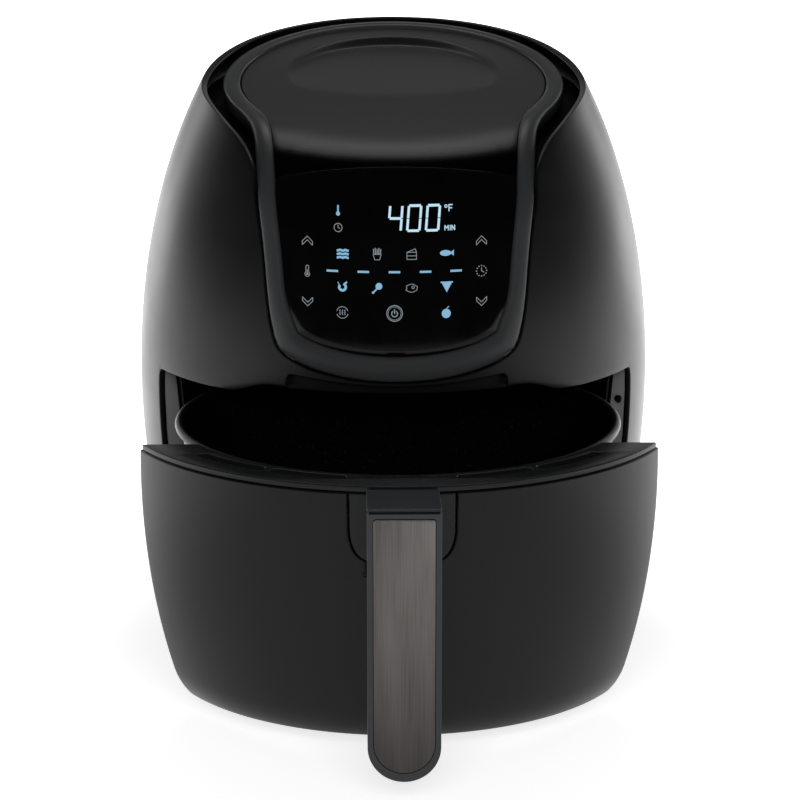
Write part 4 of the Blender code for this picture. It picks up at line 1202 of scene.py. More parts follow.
@dataclass
class Lid:
    """Band, matt cover with its round recess, and the gloss touch panel."""

    proud: float = 0.0014
    depth: float = 0.0075
    shoulder: float = 0.0016
    sink: float = 0.0008
    panel_gap: float = 0.0006
    cover_gap: float = 0.0006
    seam: float = 0.0016       # lean between the cover's and the panel's edges
    cover_wall: float = 0.0085
    cover_rim: float = 0.0030
    panel_wall: float = 0.0030
    edge: float = 0.0003
    recess_radius: float = 0.0605
    recess_y: float = 0.010
    recess_z: float = 0.2969
    recess_slope: float = 0.168
    recess_wall: float = 0.0046
    split: float = math.radians(45.6)

    def section(self, width: float) -> Array:
        """Closed section of the band as (across, up), with a rounded crown."""
        share = np.linspace(0.0, 1.0, 17)
        across = width * (1.0 - np.cos(math.pi * share)) / 2.0
        crown = -self.shoulder + (self.shoulder + self.proud) * np.sin(math.pi * share) ** 0.62
        foot = np.array([(width, -self.depth + 0.0005), (width - 0.0005, -self.depth),
                         (0.0005, -self.depth), (0.0, -self.depth + 0.0005)])
        return np.vstack([np.column_stack([across, crown]), foot])

    def band(self) -> Piece:
        """The charcoal band round the lid."""
        points, inward, normals = LID.stations()
        widths = LID.width(points[:, 2])
        sections = np.array([self.section(width) for width in widths])
        grid = (points[:, None] + inward[:, None] * sections[..., :1]
                + normals[:, None] * sections[..., 1:])
        return solid("visual_top_trim", grid.reshape(-1, 3), tube_faces(*grid.shape[:2], ring=True))

    def loop(self, gap: float, lean: float, front: bool) -> Array:
        """Closed loop of the panel (front) or of the cover, cut off at a lean."""
        line = LID.inner_loop(gap)
        half = line[:len(line) // 2 + 1]
        inside = half[:, 1] > lean if front else half[:, 1] < lean
        cross = float(np.interp(lean, half[20:, 1], half[20:, 0]))
        side = half[inside]
        side[0 if not front else -1, 0] = 0.0
        across = np.column_stack([np.linspace(cross, -cross, 41), np.full(41, lean)])
        if front:
            right = side[::-1]
            return np.vstack([across[::-1][20:], side, (right * (-1.0, 1.0))[1:], across[::-1][1:20]])
        left = (side * (-1.0, 1.0))[::-1]
        return np.vstack([side, across, left[:-1]])

    def cover(self) -> Piece:
        """The matt cover with its round, sloping recess."""
        loop = self.loop(self.cover_gap, self.split - self.seam, front=False)
        rim = LID.point(loop[:, 0], loop[:, 1])[:, :2]
        centre = np.array([0.0, self.recess_y])
        reach = np.linalg.norm(rim - centre, axis=1)
        ways = (rim - centre) / reach[:, None]
        inside = np.linspace(0.0, self.recess_radius - self.recess_wall, 14)
        wall = self.recess_radius - self.recess_wall * np.linspace(1.0, 0.0, 13)[1:]
        rings = [np.full_like(reach, r) for r in np.concatenate([inside, wall])]
        limit = reach - self.edge
        rings += [self.recess_radius + (limit - self.recess_radius) * s
                  for s in (0.04, 0.1, 0.2, 0.35, 0.5, 0.65, 0.8, 0.92)]
        rings += [reach - self.edge * step for step in RIM_STEPS[::-1]]
        rho = np.array(rings)
        flat = centre + ways * rho[..., None]
        x, y = flat[..., 0], flat[..., 1]
        z = self.lid_height(x, y)
        points = np.stack([x, y, z], axis=-1)
        normals = LID.normal(points)
        points = points - normals * self.sink
        floor = self.recess_z + self.recess_slope * (y - self.recess_y)
        share = np.clip((self.recess_radius - rho) / self.recess_wall, 0.0, 1.0)
        share = share + 0.35 * (ease(share) - share)
        dip = np.maximum(points[..., 2] - floor, 0.0) * share
        inset = rim_inset(reach - rho, self.edge)[..., None]
        outer = points - normals * inset
        outer[..., 2] -= dip
        thick = self.cover_rim + (self.cover_wall - self.cover_rim) * ease((reach - rho) / 0.012)
        inner = points - normals * (thick[..., None] - inset)
        return sheet("visual_top_cover", outer, inner, around=True)

    def lid_height(self, x: Array, y: Array) -> Array:
        """Height of the lid over (x, y)."""
        return edge_between(lambda z: LID.gap(x, y, z) < 0.0, np.full_like(x, 0.20),
                            np.full_like(x, 0.34))

    def panel(self) -> Piece:
        """The gloss panel over the front."""
        loop = self.loop(self.panel_gap, self.split, front=True)
        centre = np.array([0.0, float(LID.lean(LID.front_y(np.array(0.0), np.array(0.212)), 0.212))])
        arm = loop - centre
        length = np.linalg.norm(arm * (1.0, 0.125), axis=1)
        shares = [np.full_like(length, s) for s in np.linspace(0.0, 0.97, 26)[:-1]]
        shares += [1.0 - self.edge * step / length for step in RIM_STEPS[::-1]]
        share = np.array(shares)
        spots = centre + arm * share[..., None]
        points = LID.point(spots[..., 0], spots[..., 1])
        normals = LID.normal(points)
        points = points - normals * self.sink
        inset = rim_inset((1.0 - share) * length, self.edge)[..., None]
        outer = points - normals * inset
        inner = points - normals * (self.panel_wall - inset)
        return sheet("visual_control_panel", outer, inner, around=True)

    def build(self) -> None:
        """Make and dress the lid's pieces."""
        for piece, finish, slot, node in ((self.band(), TRIM_ABS, Slot.TRIM, "top_trim"),
                                          (self.cover(), COVER_SKIN, Slot.COVER, "top_cover"),
                                          (self.panel(), PANEL_ACRYLIC, Slot.PANEL, "control_panel")):
            MAKER.dress(shifted(piece, HOUSING_Y), finish, Body.HOUSING, slot, node, sharp=60.0)
        mark = lathe("visual_cover_mark", [(0.0, 0.0), (0.0021, 0.0), (0.0019, 0.00018), (0.0, 0.00022)],
                     (-0.0555, -0.0203, 0.2900), 32)
        MAKER.dress(shifted(mark, HOUSING_Y), BLACK_PP_AND_GAP_SHADE, Body.HOUSING, Slot.COVER)


@dataclass
class PanelGraphics:
    """Lit figures and signs printed on the back of the panel, drawn as thin lenses on its front."""

    lift: float = 0.00006
    thick: float = 0.00012
    panel_sink: float = 0.0008     # the panel's face lies this far below the lid form
    longest: float = 1.2           # longer lines are cut up, so that they follow the curved panel
    overlap: float = 0.6           # share of half a line's width that its ends reach past a point
    points: list = field(default_factory=list)
    faces: list = field(default_factory=list)

    def patch(self, outline: Route) -> None:
        """Add a filled convex outline, in millimetres across and up."""
        count = len(outline)
        base = len(self.points)
        x = np.array([p[0] for p in outline]) / 1000.0
        z = np.array([p[1] for p in outline]) / 1000.0
        y = LID.front_y(x, z)
        skin = np.stack([x, y, z], axis=-1)
        normal = LID.normal(skin)
        top = skin + normal * (self.lift - self.panel_sink)
        low = skin + normal * (self.lift - self.thick - self.panel_sink)
        self.points += [*top.tolist(), *low.tolist()]
        front = [base + k for k in range(count)]
        back = [base + count + k for k in range(count)]
        self.faces += [front, back[::-1]]
        self.faces += [[front[k], front[(k + 1) % count], back[(k + 1) % count], back[k]]
                       for k in range(count)]

    def stroke(self, route: Route, width: float,
               closed: bool = False) -> None:
        """Add a line of even width along a route, in millimetres."""
        wide = width / 2.0
        line = np.array(route, float)
        if closed:
            line = np.vstack([line, line[:1]])
        parts = [max(1, int(np.linalg.norm(b - a) / self.longest)) for a, b in zip(line, line[1:])]
        line = np.vstack([*[a + (b - a) * np.linspace(0.0, 1.0, n, endpoint=False)[:, None]
                            for a, b, n in zip(line, line[1:], parts)], line[-1:]])
        for start, end in zip(line, line[1:]):
            way = (end - start) / max(float(np.linalg.norm(end - start)), 1e-9)
            side = np.array([-way[1], way[0]]) * wide
            cap = way * wide * self.overlap
            self.patch([tuple(start - cap + side), tuple(start - cap - side),
                        tuple(end + cap - side), tuple(end + cap + side)])

    def ring(self, x: float, z: float, radius: float, width: float, start: float = 0.0,
             end: float = 360.0, steps: int = 24) -> None:
        """Add an arc of even width."""
        self.stroke([tuple(p) for p in arc(radius, start, end, steps, (x, z))], width)

    def disc(self, x: float, z: float, radius: float) -> None:
        """Add a filled disc."""
        self.patch([tuple(p) for p in arc(radius, 0.0, 345.0, 23, (x, z))])

    def finish(self, name: str, glow: GlowInk) -> None:
        """Make and dress what was drawn."""
        obj = solid(name, np.array(self.points), self.faces)
        MAKER.dress(shifted(obj, HOUSING_Y), glow, Body.HOUSING, Slot.PANEL)


@dataclass
class Display:
    """Figures, symbols and keys of the touch panel, in millimetres."""

    figure_left: float = -4.6
    figure_low: float = 234.4
    figure_high: float = 246.6
    figure_width: float = 7.7
    figure_pitch: float = 9.9
    slant: float = 0.09
    segment: float = 1.25
    fine: float = 0.34          # line width of the outlined signs

    def figure(self, pen: PanelGraphics, left: float, bars: str) -> None:
        """Draw one seven-bar figure.

        Args:
            pen: where it is drawn.
            left: its left side in millimetres.
            bars: letters of the lit bars, a on top, clockwise to f, g in the middle.
        """
        half = (self.figure_high - self.figure_low) / 2.0
        inner = self.segment / 2.0
        wide, gap = self.figure_width - inner, 0.55
        ends = {"a": ((inner + gap, 2 * half), (wide - gap, 2 * half)),
                "b": ((wide, 2 * half - gap), (wide, half + gap)),
                "c": ((wide, half - gap), (wide, gap)),
                "d": ((inner + gap, 0.0), (wide - gap, 0.0)),
                "e": ((inner, half - gap), (inner, gap)),
                "f": ((inner, 2 * half - gap), (inner, half + gap)),
                "g": ((inner + gap, half), (wide - gap, half))}
        for bar in bars:
            route = [(left + x + self.slant * (z - half), self.figure_low + z) for x, z in ends[bar]]
            pen.stroke(route, self.segment)

    def units(self, pen: PanelGraphics) -> None:
        """Draw the degree sign, the F and the short word for minutes."""
        pen.ring(26.0, 246.0, 0.65, 0.38, steps=12)
        pen.stroke([(27.6, 243.6), (27.6, 246.6), (29.4, 246.6)], 0.5)
        pen.stroke([(27.6, 245.1), (29.1, 245.1)], 0.5)
        pen.stroke([(25.3, 234.2), (25.3, 236.6), (26.2, 235.2), (27.1, 236.6), (27.1, 234.2)], 0.42)
        pen.stroke([(28.1, 234.2), (28.1, 236.6)], 0.42)
        pen.stroke([(29.0, 234.2), (29.0, 236.6), (30.5, 234.2), (30.5, 236.6)], 0.42)

    def thermometer(self, pen: PanelGraphics, x: float, z: float, high: float, width: float) -> None:
        """Draw an outlined thermometer."""
        pen.ring(x, z - high / 2 + 1.3, 1.25, width, -235.0, 55.0, 14)
        pen.stroke([(x - 0.72, z - high / 2 + 2.3), (x - 0.72, z + high / 2 - 0.7)], width)
        pen.stroke([(x + 0.72, z - high / 2 + 2.3), (x + 0.72, z + high / 2 - 0.7)], width)
        pen.ring(x, z + high / 2 - 0.7, 0.72, width, 0.0, 180.0, 8)
        pen.disc(x, z - high / 2 + 1.3, 0.62)
        pen.stroke([(x, z - high / 2 + 1.3), (x, z + 0.6)], 0.45)

    def chevron(self, pen: PanelGraphics, x: float, z: float, way: float) -> None:
        """Draw a hollow chevron that points up or down."""
        for offset in (0.95, -0.95):
            pen.stroke([(x - 2.7, z - way * 1.25 + offset), (x, z + way * 1.35 + offset),
                        (x + 2.7, z - way * 1.25 + offset)], self.fine)
        for side in (-2.7, 2.7):
            pen.stroke([(x + side, z - way * 1.25 + 0.95), (x + side, z - way * 1.25 - 0.95)], self.fine)

    def keys(self, pen: PanelGraphics) -> None:
        """Draw the keys of the side columns and the foot of the panel."""
        for x in (-47.3, 44.8):
            self.chevron(pen, x, 228.0, 1.0)
            self.chevron(pen, x, 196.7, -1.0)
        self.thermometer(pen, -47.4, 212.5, 5.8, self.fine)
        for k in range(12):
            a = math.radians(30.0 * k)
            pen.disc(44.8 + 2.7 * math.cos(a), 212.4 + 2.7 * math.sin(a), 0.33)
        pen.stroke([(44.8, 214.0), (44.8, 212.4), (46.0, 211.7)], 0.4)
        pen.ring(-1.4, 192.0, 4.1, 0.42, steps=36)
        pen.ring(-1.4, 192.0, 3.4, 0.24, steps=36)
        pen.ring(-1.4, 191.8, 1.55, 0.5, -235.0, 55.0, 18)
        pen.stroke([(-1.4, 194.1), (-1.4, 191.9)], 0.5)
        pen.ring(-28.9, 192.0, 3.0, self.fine, 20.0, 165.0, 16)
        pen.ring(-28.9, 192.0, 3.0, self.fine, 200.0, 345.0, 16)
        for x in (-30.2, -28.9, -27.6):
            wave = [(x + 0.28 * math.sin(2.4 * k), 190.7 + 0.45 * k) for k in range(7)]
            pen.stroke(wave, 0.32)

    def outlines(self, pen: PanelGraphics) -> None:
        """Draw the outlined food signs: cup of fries, slice of cake and steak."""
        pen.stroke([(-12.6, 222.4), (-11.8, 219.6), (-9.2, 219.6), (-8.4, 222.4)], self.fine, closed=True)
        for k in range(5):
            x = -12.2 + 0.86 * k
            pen.stroke([(x, 222.7), (x + 0.1 * (k - 2), 225.0 + 0.5 * (k % 2))], 0.5)
        pen.stroke([(5.2, 223.4), (9.6, 225.2), (10.2, 223.4), (10.2, 219.8), (5.2, 219.8)], self.fine,
                   closed=True)
        pen.stroke([(5.2, 221.6), (10.2, 221.6)], self.fine)
        pen.stroke([(5.2, 223.4), (10.2, 223.4)], self.fine)
        ring = arc(1.0, 0.0, 330.0, 16, (7.6, 205.0))
        steak = [(7.6 + (x - 7.6) * (2.9 + 0.5 * math.sin(2 * k)), 205.0 + (z - 205.0) * 2.1)
                 for k, (x, z) in enumerate(ring)]
        pen.stroke(steak, self.fine, closed=True)
        pen.ring(8.4, 205.4, 0.65, self.fine, steps=10)

    def filled(self, pen: PanelGraphics) -> None:
        """Draw the filled food signs and the row of dashes."""
        for x in (-34.1, -17.8, -1.4, 15.0, 31.2):
            pen.stroke([(x - 2.7, 213.3), (x + 2.7, 213.3)], 1.1)
        for k in range(3):
            z = 220.2 + 1.8 * k
            pen.stroke([(-31.4 + 1.4 * j, z + 0.45 * (j % 2)) for j in range(5)], 1.15)
        body = arc(1.0, 20.0, 340.0, 18, (25.6, 222.6))
        pen.patch([(25.6 + (x - 25.6) * 3.0, 222.6 + (z - 222.6) * 1.5) for x, z in body])
        pen.patch([(28.0, 222.6), (30.0, 221.0), (30.0, 224.2)])
        pen.ring(-28.8, 205.2, 1.7, 1.25, -200.0, 60.0, 18)
        pen.stroke([(-30.5, 206.3), (-31.2, 207.6)], 0.4)
        pen.stroke([(-27.7, 206.9), (-26.6, 207.7)], 0.9)
        pen.disc(-9.6, 206.0, 1.75)
        pen.stroke([(-10.6, 204.8), (-12.4, 202.9)], 0.8)
        pen.disc(-12.7, 202.7, 0.62)
        pen.patch([(23.6, 207.2), (28.8, 207.2), (26.2, 202.4)])
        pen.stroke([(23.2, 207.6), (29.2, 207.6)], 0.7)
        pen.disc(25.9, 191.4, 2.4)
        pen.stroke([(25.9, 193.6), (27.2, 195.0)], 0.45)
        pen.disc(-31.0, 242.4, 1.05)
        pen.stroke([(-31.0, 242.6), (-31.0, 246.2)], 0.85)

    def build(self) -> None:
        """Make and dress the lit graphics."""
        figures = PanelGraphics()
        for k, bars in enumerate(("bcfg", "abcdef", "abcdef")):
            self.figure(figures, self.figure_left + k * self.figure_pitch, bars)
        self.units(figures)
        figures.finish("visual_display_figures", DIGIT_GLOW)
        signs = PanelGraphics()
        self.filled(signs)
        signs.finish("visual_panel_signs", ICON_GLOW)
        lines = PanelGraphics()
        lines.ring(-31.0, 235.5, 2.1, 0.36, steps=20)
        lines.stroke([(-31.0, 236.9), (-31.0, 235.5), (-30.1, 235.1)], 0.36)
        self.keys(lines)
        self.outlines(lines)
        lines.finish("visual_panel_lines", LINE_GLOW)


@dataclass
class Opening:
    """What frames the drawer bay: posts, the dark insert in the notch, liner and rails."""

    post_edge: float = 0.0011
    insert_low: float = 0.1485
    insert_high: float = 0.1600
    insert_inset: float = 0.0048
    insert_reach: float = 1.02     # plan angle of its ends
    insert_front: float = 0.0095   # depth of its sides below the egg
    insert_back: float = 0.0120
    insert_edge: float = 0.0006

    def insert(self) -> Piece:
        """The dark strip behind the notch."""
        turns = np.linspace(-self.insert_reach, self.insert_reach, 121)
        heights = toothed(self.insert_low, self.insert_high, 6, self.insert_edge)
        turn, z = np.meshgrid(turns, heights)
        near = np.minimum(z - self.insert_low, self.insert_high - z)
        inset = rim_inset(near, self.insert_edge)
        ahead = ease((0.46 - np.abs(turn)) / 0.03) * (self.insert_front - self.insert_inset)
        outer = EGG.point(turn, z, self.insert_front - ahead + inset)
        inner = EGG.point(turn, z, self.insert_back - inset)
        return sheet("visual_opening_lintel", outer, inner)

    def build(self) -> None:
        """Make and dress the opening's pieces."""
        for node in ("jamb_left", "jamb_right"):
            post = rounded(copy_of(node, "visual_" + node), self.post_edge)
            MAKER.dress(post, POST_PP, Body.HOUSING, Slot.INNER, node)
        MAKER.dress(shifted(self.insert(), HOUSING_Y), INNER_PP, Body.HOUSING, Slot.INNER,
                    "opening_lintel")
        MAKER.coat(ENAMEL, "bay_liner", "bay_floor")
        MAKER.coat(INNER_PP, "rail_left", "rail_right")


@dataclass
class RearParts:
    """Vent louvres, duct and the bush where the cord goes in."""

    half: float = 0.296
    low: float = 0.1758
    high: float = 0.2342
    border: float = 0.0042
    wall: float = 0.0024
    louvres: int = 9
    louvre_depth: float = 0.0026
    louvre_height: float = 0.0020
    louvre_half: float = 0.0335
    louvre_lean: float = 28.0
    louvre_sink: float = 0.0018
    edge: float = 0.0005
    sink: float = 0.0003

    def frame_sheet(self) -> Piece:
        """The grille's frame, open in the middle."""
        reach = self.border / 0.13
        turns = np.unique(np.concatenate([toothed(-self.half, self.half, 44, 0.004),
                                          [reach - self.half, self.half - reach]]))
        heights = np.unique(np.concatenate([toothed(self.low, self.high, 20, self.edge),
                                            [self.low + self.border, self.high - self.border]]))
        turn, z = np.meshgrid(turns, heights)
        near = np.minimum.reduce([(turn + self.half) * 0.12, (self.half - turn) * 0.12,
                                  z - self.low, self.high - z])
        inset = rim_inset(near, self.edge)
        outer = EGG.point(math.pi + turn, z, self.sink + inset)
        inner = EGG.point(math.pi + turn, z, self.sink + self.wall - inset)
        middle_turn = (turns[:-1] + turns[1:]) / 2.0
        middle_z = (heights[:-1] + heights[1:]) / 2.0
        keep = ((np.abs(middle_turn) > self.half - reach)[None, :]
                | ((middle_z < self.low + self.border) | (middle_z > self.high - self.border))[:, None])
        return sheet("visual_rear_vent_grille", outer, inner, keep)

    def louvre_tree(self) -> Tree:
        """Geometry nodes that repeat one louvre upwards and lay the row on the egg's back."""
        tree = geometry_tree("louvres", Count='Int', Pitch='Float', Start='Float',
                             Material='Material')
        given = add_node(tree, "NodeGroupInput").outputs
        step = add_node(tree, "ShaderNodeCombineXYZ", {2: given["Pitch"]})
        start = add_node(tree, "ShaderNodeCombineXYZ", {2: given["Start"]})
        row = add_node(tree, "GeometryNodeMeshLine", {"Count": given["Count"],
                       "Start Location": start, "Offset": step})
        placed = add_node(tree, "GeometryNodeInstanceOnPoints", {"Points": row,
                          "Instance": given["Geometry"]})
        real = add_node(tree, "GeometryNodeRealizeInstances", {0: placed})
        place = add_node(tree, "GeometryNodeInputPosition")
        axes = add_node(tree, "ShaderNodeSeparateXYZ", {0: place})
        across = add_node(tree, "ShaderNodeMath", {0: axes, 1: 2.0}, operation='POWER')
        back = axes.outputs[2]
        for operation, other in (('SUBTRACT', EGG.waist_z), ('DIVIDE', EGG.half_up), ('POWER', 2.0),
                                 ('MULTIPLY', -1.0), ('ADD', 1.0), ('MULTIPLY', EGG.waist_radius ** 2),
                                 ('SUBTRACT', across), ('SQRT', 0.0),
                                 ('MULTIPLY', EGG.rear_stretch)):
            back = add_node(tree, "ShaderNodeMath", {0: back, 1: other}, operation=operation)
        offset = add_node(tree, "ShaderNodeCombineXYZ", {1: back})
        laid = add_node(tree, "GeometryNodeSetPosition", {"Geometry": real,
                        "Offset": offset})
        dressed = add_node(tree, "GeometryNodeSetMaterial", {"Geometry": laid,
                           "Material": given["Material"]})
        add_node(tree, "NodeGroupOutput", {0: dressed})
        return tree

    def louvre(self) -> Piece:
        """One louvre: a leaning bar with rounded edges, fine enough to follow the egg."""
        lean = Matrix.Rotation(math.radians(self.louvre_lean), 2)
        outline = arc(0.5, 0.0, 330.0, 11) * (self.louvre_depth, self.louvre_height)
        outline = outline @ np.array(lean) + (-self.louvre_sink, 0.0)
        stations = np.linspace(-self.louvre_half, self.louvre_half, 25)
        grid = np.array([[(x, y, z) for y, z in outline] for x in stations])
        faces = tube_faces(len(stations), len(outline), ring=False)
        return solid("visual_vent_louvres", grid.reshape(-1, 3), faces)

    def build(self) -> None:
        """Make and dress the rear parts."""
        MAKER.dress(shifted(self.frame_sheet(), HOUSING_Y), INNER_PP, Body.HOUSING, Slot.INNER,
                    "rear_vent_grille")
        first = self.low + self.border + 0.0014
        last = self.high - self.border - 0.0014
        bars = with_nodes(self.louvre(), self.louvre_tree(),
                          {"Count": self.louvres, "Pitch": (last - first) / (self.louvres - 1),
                           "Start": first, "Material": INNER_PP.material()})
        MAKER.dress(shifted(bars, HOUSING_Y), INNER_PP, Body.HOUSING, Slot.INNER)
        bush = lathe("visual_cord_inlet",
                     [(0.0035, 0.010), (0.0060, 0.010), (0.0065, 0.0095), (0.0068, 0.0065),
                      (0.0060, 0.0060), (0.0062, 0.0045), (0.0072, 0.0040), (0.0078, 0.0004),
                      (0.0114, 0.0), (0.0120, -0.0006), (0.0120, -0.003), (0.008, -0.003),
                      (0.008, -0.014), (0.0035, -0.014)],
                     (0.0, 0.1640 + HOUSING_Y, 0.045), 64, "Y")
        MAKER.dress(bush, FOOT_RUBBER, Body.HOUSING, Slot.RUBBER, "cord_inlet")
        MAKER.coat(ZINC, "exhaust_duct")


@dataclass
class Base:
    """Base plate, rubber feet and their screws."""

    corners: tuple = ("front_left", "front_right", "rear_left", "rear_right")

    def build(self) -> None:
        """Make and dress the base."""
        for corner in self.corners:
            node = "foot_" + corner
            spot = middle(node)
            foot = lathe("visual_" + node,
                         [(0.0, 0.0), (0.0060, 0.0), (0.0062, 0.0006), (0.0070, 0.0006),
                          (0.0072, 0.0), (0.0080, 0.0), (0.0085, 0.0005), (0.0095, 0.0046),
                          (0.0092, 0.0052), (0.0, 0.0052)], (spot.x, spot.y, 0.0), 48)
            MAKER.dress(foot, FOOT_RUBBER, Body.HOUSING, Slot.RUBBER, node)
        MAKER.coat(INNER_PP, "base_plate")
        MAKER.coat(PLAIN_STEEL, *("base_screw_" + corner for corner in self.corners))


# ---- drawer ----

@dataclass
class DrawerFront:
    """Drawer front on the egg, the deck over it and the dark troughs of painted shade under the deck's
    slots.
    """

    opening_y: float = -0.0633
    low: float = 0.009
    high: float = 0.1396
    wall: float = 0.003
    edge: float = 0.0008
    seat_half: float = 0.0262
    seat_foot: float = 0.0174
    seat_bend: float = 0.122
    seat_low: float = 0.098
    seat_drop: float = 0.016
    deck_low: float = 0.140
    deck_high: float = 0.143
    deck_rear: float = -0.0655
    deck_inner: float = 0.1168
    slot_radius: float = 0.1297
    slot_width: float = 0.0058

    def seat(self, z: Array | float) -> Array:
        """Half width of the handle's seat at height z."""
        drop = np.clip((self.seat_bend - z) / self.seat_drop, 0.0, 1.0)
        reach = self.seat_half - self.seat_foot
        return self.seat_half - reach * (1.0 - np.sqrt(1.0 - drop * drop))

    def front(self) -> Piece:
        """The curved front with the seat cut into its top."""
        heights = np.concatenate([self.low + RIM_STEPS * self.edge,
                                  [0.0108, 0.0122, 0.0145, 0.0172, 0.0205, 0.024],
                                  np.linspace(0.030, 0.096, 24),
                                  self.seat_low - RIM_STEPS[::-1] * self.edge,
                                  np.linspace(0.0995, 0.1065, 8),
                                  np.linspace(0.1075, 0.1385, 24),
                                  self.high - RIM_STEPS[::-1] * self.edge])
        rim = self.edge / 0.145
        middle_cells = 12
        rows = []
        for z in heights:
            inner = float(np.arcsin(self.seat(z) / EGG.radius(z)))
            limit = float(EGG.opening_turn(z, self.opening_y))
            side = toothed(inner, limit, 70, rim)
            rows.append(np.concatenate([-side[::-1], np.linspace(-inner, inner, middle_cells + 1)[1:-1],
                                        side]))
        turn = np.array(rows)
        z = heights[:, None]
        limit = EGG.opening_turn(z, self.opening_y)
        seat = np.arcsin(self.seat(z) / EGG.radius(z))
        radius = EGG.radius(z)
        beside = np.where(z > self.seat_low - 1e-6, (np.abs(turn) - seat) * radius, 1.0)
        under = np.where((np.abs(turn) < seat + rim) & (z <= self.seat_low), self.seat_low - z, 1.0)
        near = np.minimum.reduce([(limit - np.abs(turn)) * radius, beside, under,
                                  np.broadcast_to(z - self.low, turn.shape),
                                  np.broadcast_to(self.high - z, turn.shape)])
        inset = rim_inset(np.maximum(near, 0.0), self.edge)[..., None]
        points = EGG.point(turn, z)
        normals = EGG.normal(points)
        outer = points - normals * inset
        inner_side = points - normals * (self.wall - inset)
        keep = np.ones((len(heights) - 1, turn.shape[1] - 1), bool)
        side_count = (turn.shape[1] - middle_cells + 1) // 2
        upper = np.flatnonzero(heights[:-1] >= self.seat_low - 1e-6)
        keep[upper[:, None], np.arange(side_count - 1, side_count - 1 + middle_cells)] = False
        return sheet("visual_drawer_front", outer, inner_side, keep)

    def slot(self, start: float, end: float) -> Array:
        """Outline of a slot with rounded ends that follows the deck's rim."""
        turns = np.radians(np.linspace(start, end, 30))
        half = self.slot_width / 2.0
        steps = np.linspace(0.0, math.pi, 9)
        left, right = turns[0], turns[-1]
        spots = [(self.slot_radius + half, t) for t in turns]
        spots += [(self.slot_radius + half * math.cos(s), right + 0.8 * half * math.sin(s)
                   / self.slot_radius) for s in steps]
        spots += [(self.slot_radius - half, t) for t in turns[::-1]]
        spots += [(self.slot_radius - half * math.cos(s), left - 0.8 * half * math.sin(s)
                   / self.slot_radius) for s in steps]
        line = np.array([(r * math.sin(t), -r * math.cos(t)) for r, t in spots])
        return line[np.linalg.norm(line - np.roll(line, 1, axis=0), axis=1) > 1e-5]

    def plan_arc(self, radius: float, chord: float) -> Array:
        """Arc of a circle in front of a chord, from left to right."""
        limit = math.degrees(math.acos(-chord / radius))
        return arc(radius, -90.0 - limit, -90.0 + limit, 150)

    def deck(self) -> Piece:
        """The deck between the front and the pan's rim, with its four slots."""
        outer = self.plan_arc(float(EGG.radius(self.deck_high)) - 0.0004, self.deck_rear)
        inner = self.plan_arc(self.deck_inner, self.deck_rear + PAN_AHEAD) - (0.0, PAN_AHEAD)
        holes = [self.slot(start, end) for start, end in
                 ((-48.4, -31.9), (-28.2, -12.9), (12.9, 28.2), (31.9, 48.4))]
        return flat_plate("visual_drawer_deck", [np.vstack([outer, inner[::-1]]), *holes],
                          self.deck_low, self.deck_high, 0.00055)

    def shade_trough(self, side: float, name: str) -> Piece:
        """Dark trough under two slots of the deck: painted shade that keeps them dark.

        Args:
            side: -1 for the left pair, 1 for the right pair.
            name: the object's name.

        Returns:
            The new object.
        """
        turns = side * np.radians(np.linspace(11.0, 50.0, 40))
        path = np.array([(0.1329, 0.13985), (0.1329, 0.1315), (0.1262, 0.1315), (0.1262, 0.13985)])
        inside = path + np.array([(-1.0, 0.0), (-1.0, 1.0), (1.0, 1.0), (1.0, 0.0)]) * 0.0008
        ways = np.stack([np.sin(turns), -np.cos(turns)], axis=-1)
        outer, inner = (np.dstack([ways[:, None, 0] * line[:, 0], ways[:, None, 1] * line[:, 0],
                                   np.broadcast_to(line[:, 1], (len(turns), len(line)))])
                        for line in (path, inside))
        return sheet(name, outer, inner)

    def build(self) -> None:
        """Make and dress the drawer's front and deck."""
        MAKER.dress(shifted(self.front(), DRAWER_Y), SHELL_ABS, Body.DRAWER, Slot.SHELL,
                    "drawer_front", sharp=55.0)
        MAKER.dress(shifted(self.deck(), DRAWER_Y), DECK_ABS, Body.DRAWER, Slot.TRIM, "drawer_deck")
        for side, label in ((-1.0, "left"), (1.0, "right")):
            MAKER.dress(shifted(self.shade_trough(side, "visual_slot_shade_trough_" + label), DRAWER_Y), BLACK_PP_AND_GAP_SHADE,
                        Body.DRAWER, Slot.TRIM)
        MAKER.coat(ZINC, "heat_shield")


@dataclass
class Pan:
    """Spun non-stick pan with a rolled rim."""

    rim: float = 0.116
    rim_z: float = 0.142
    base: float = 0.096
    low: float = 0.0365
    wall: float = 0.0015
    corner: float = 0.010
    roll: float = 0.00225          # radius of the rolled rim
    lip: float = 0.0034            # how far the rim reaches past the wall

    def build(self) -> None:
        """Make and dress the pan."""
        throat = self.rim - self.lip - self.wall
        roll = arc(self.roll, 180.0, -60.0, 18, (self.rim - self.roll, self.rim_z - self.roll))
        foot = arc(self.corner, 0.0, -90.0, 10, (self.base - self.corner, self.low + self.corner))
        heel = arc(self.corner - self.wall, -90.0, 0.0, 10,
                   (self.base - self.corner, self.low + self.corner))
        outer_side = [(self.rim - self.lip, self.rim_z - 0.0060)]
        ribs = [(0.070, self.low + self.wall), (0.069, self.low + self.wall + 0.0006),
                (0.067, self.low + self.wall + 0.0006), (0.066, self.low + self.wall)]
        profile = [*roll.tolist(), *outer_side, *foot.tolist(), (0.0, self.low),
                   (0.0, self.low + self.wall), *ribs[::-1], *heel.tolist(),
                   (throat - 0.0002, self.rim_z - 0.0070), (throat, self.rim_z - 0.0040)]
        pan = lathe("visual_pan", profile, (0.0, PAN_Y, 0.0), 192)
        MAKER.dress(pan, PAN_COAT, Body.DRAWER, Slot.NON_STICK, "pan", sharp=50.0)


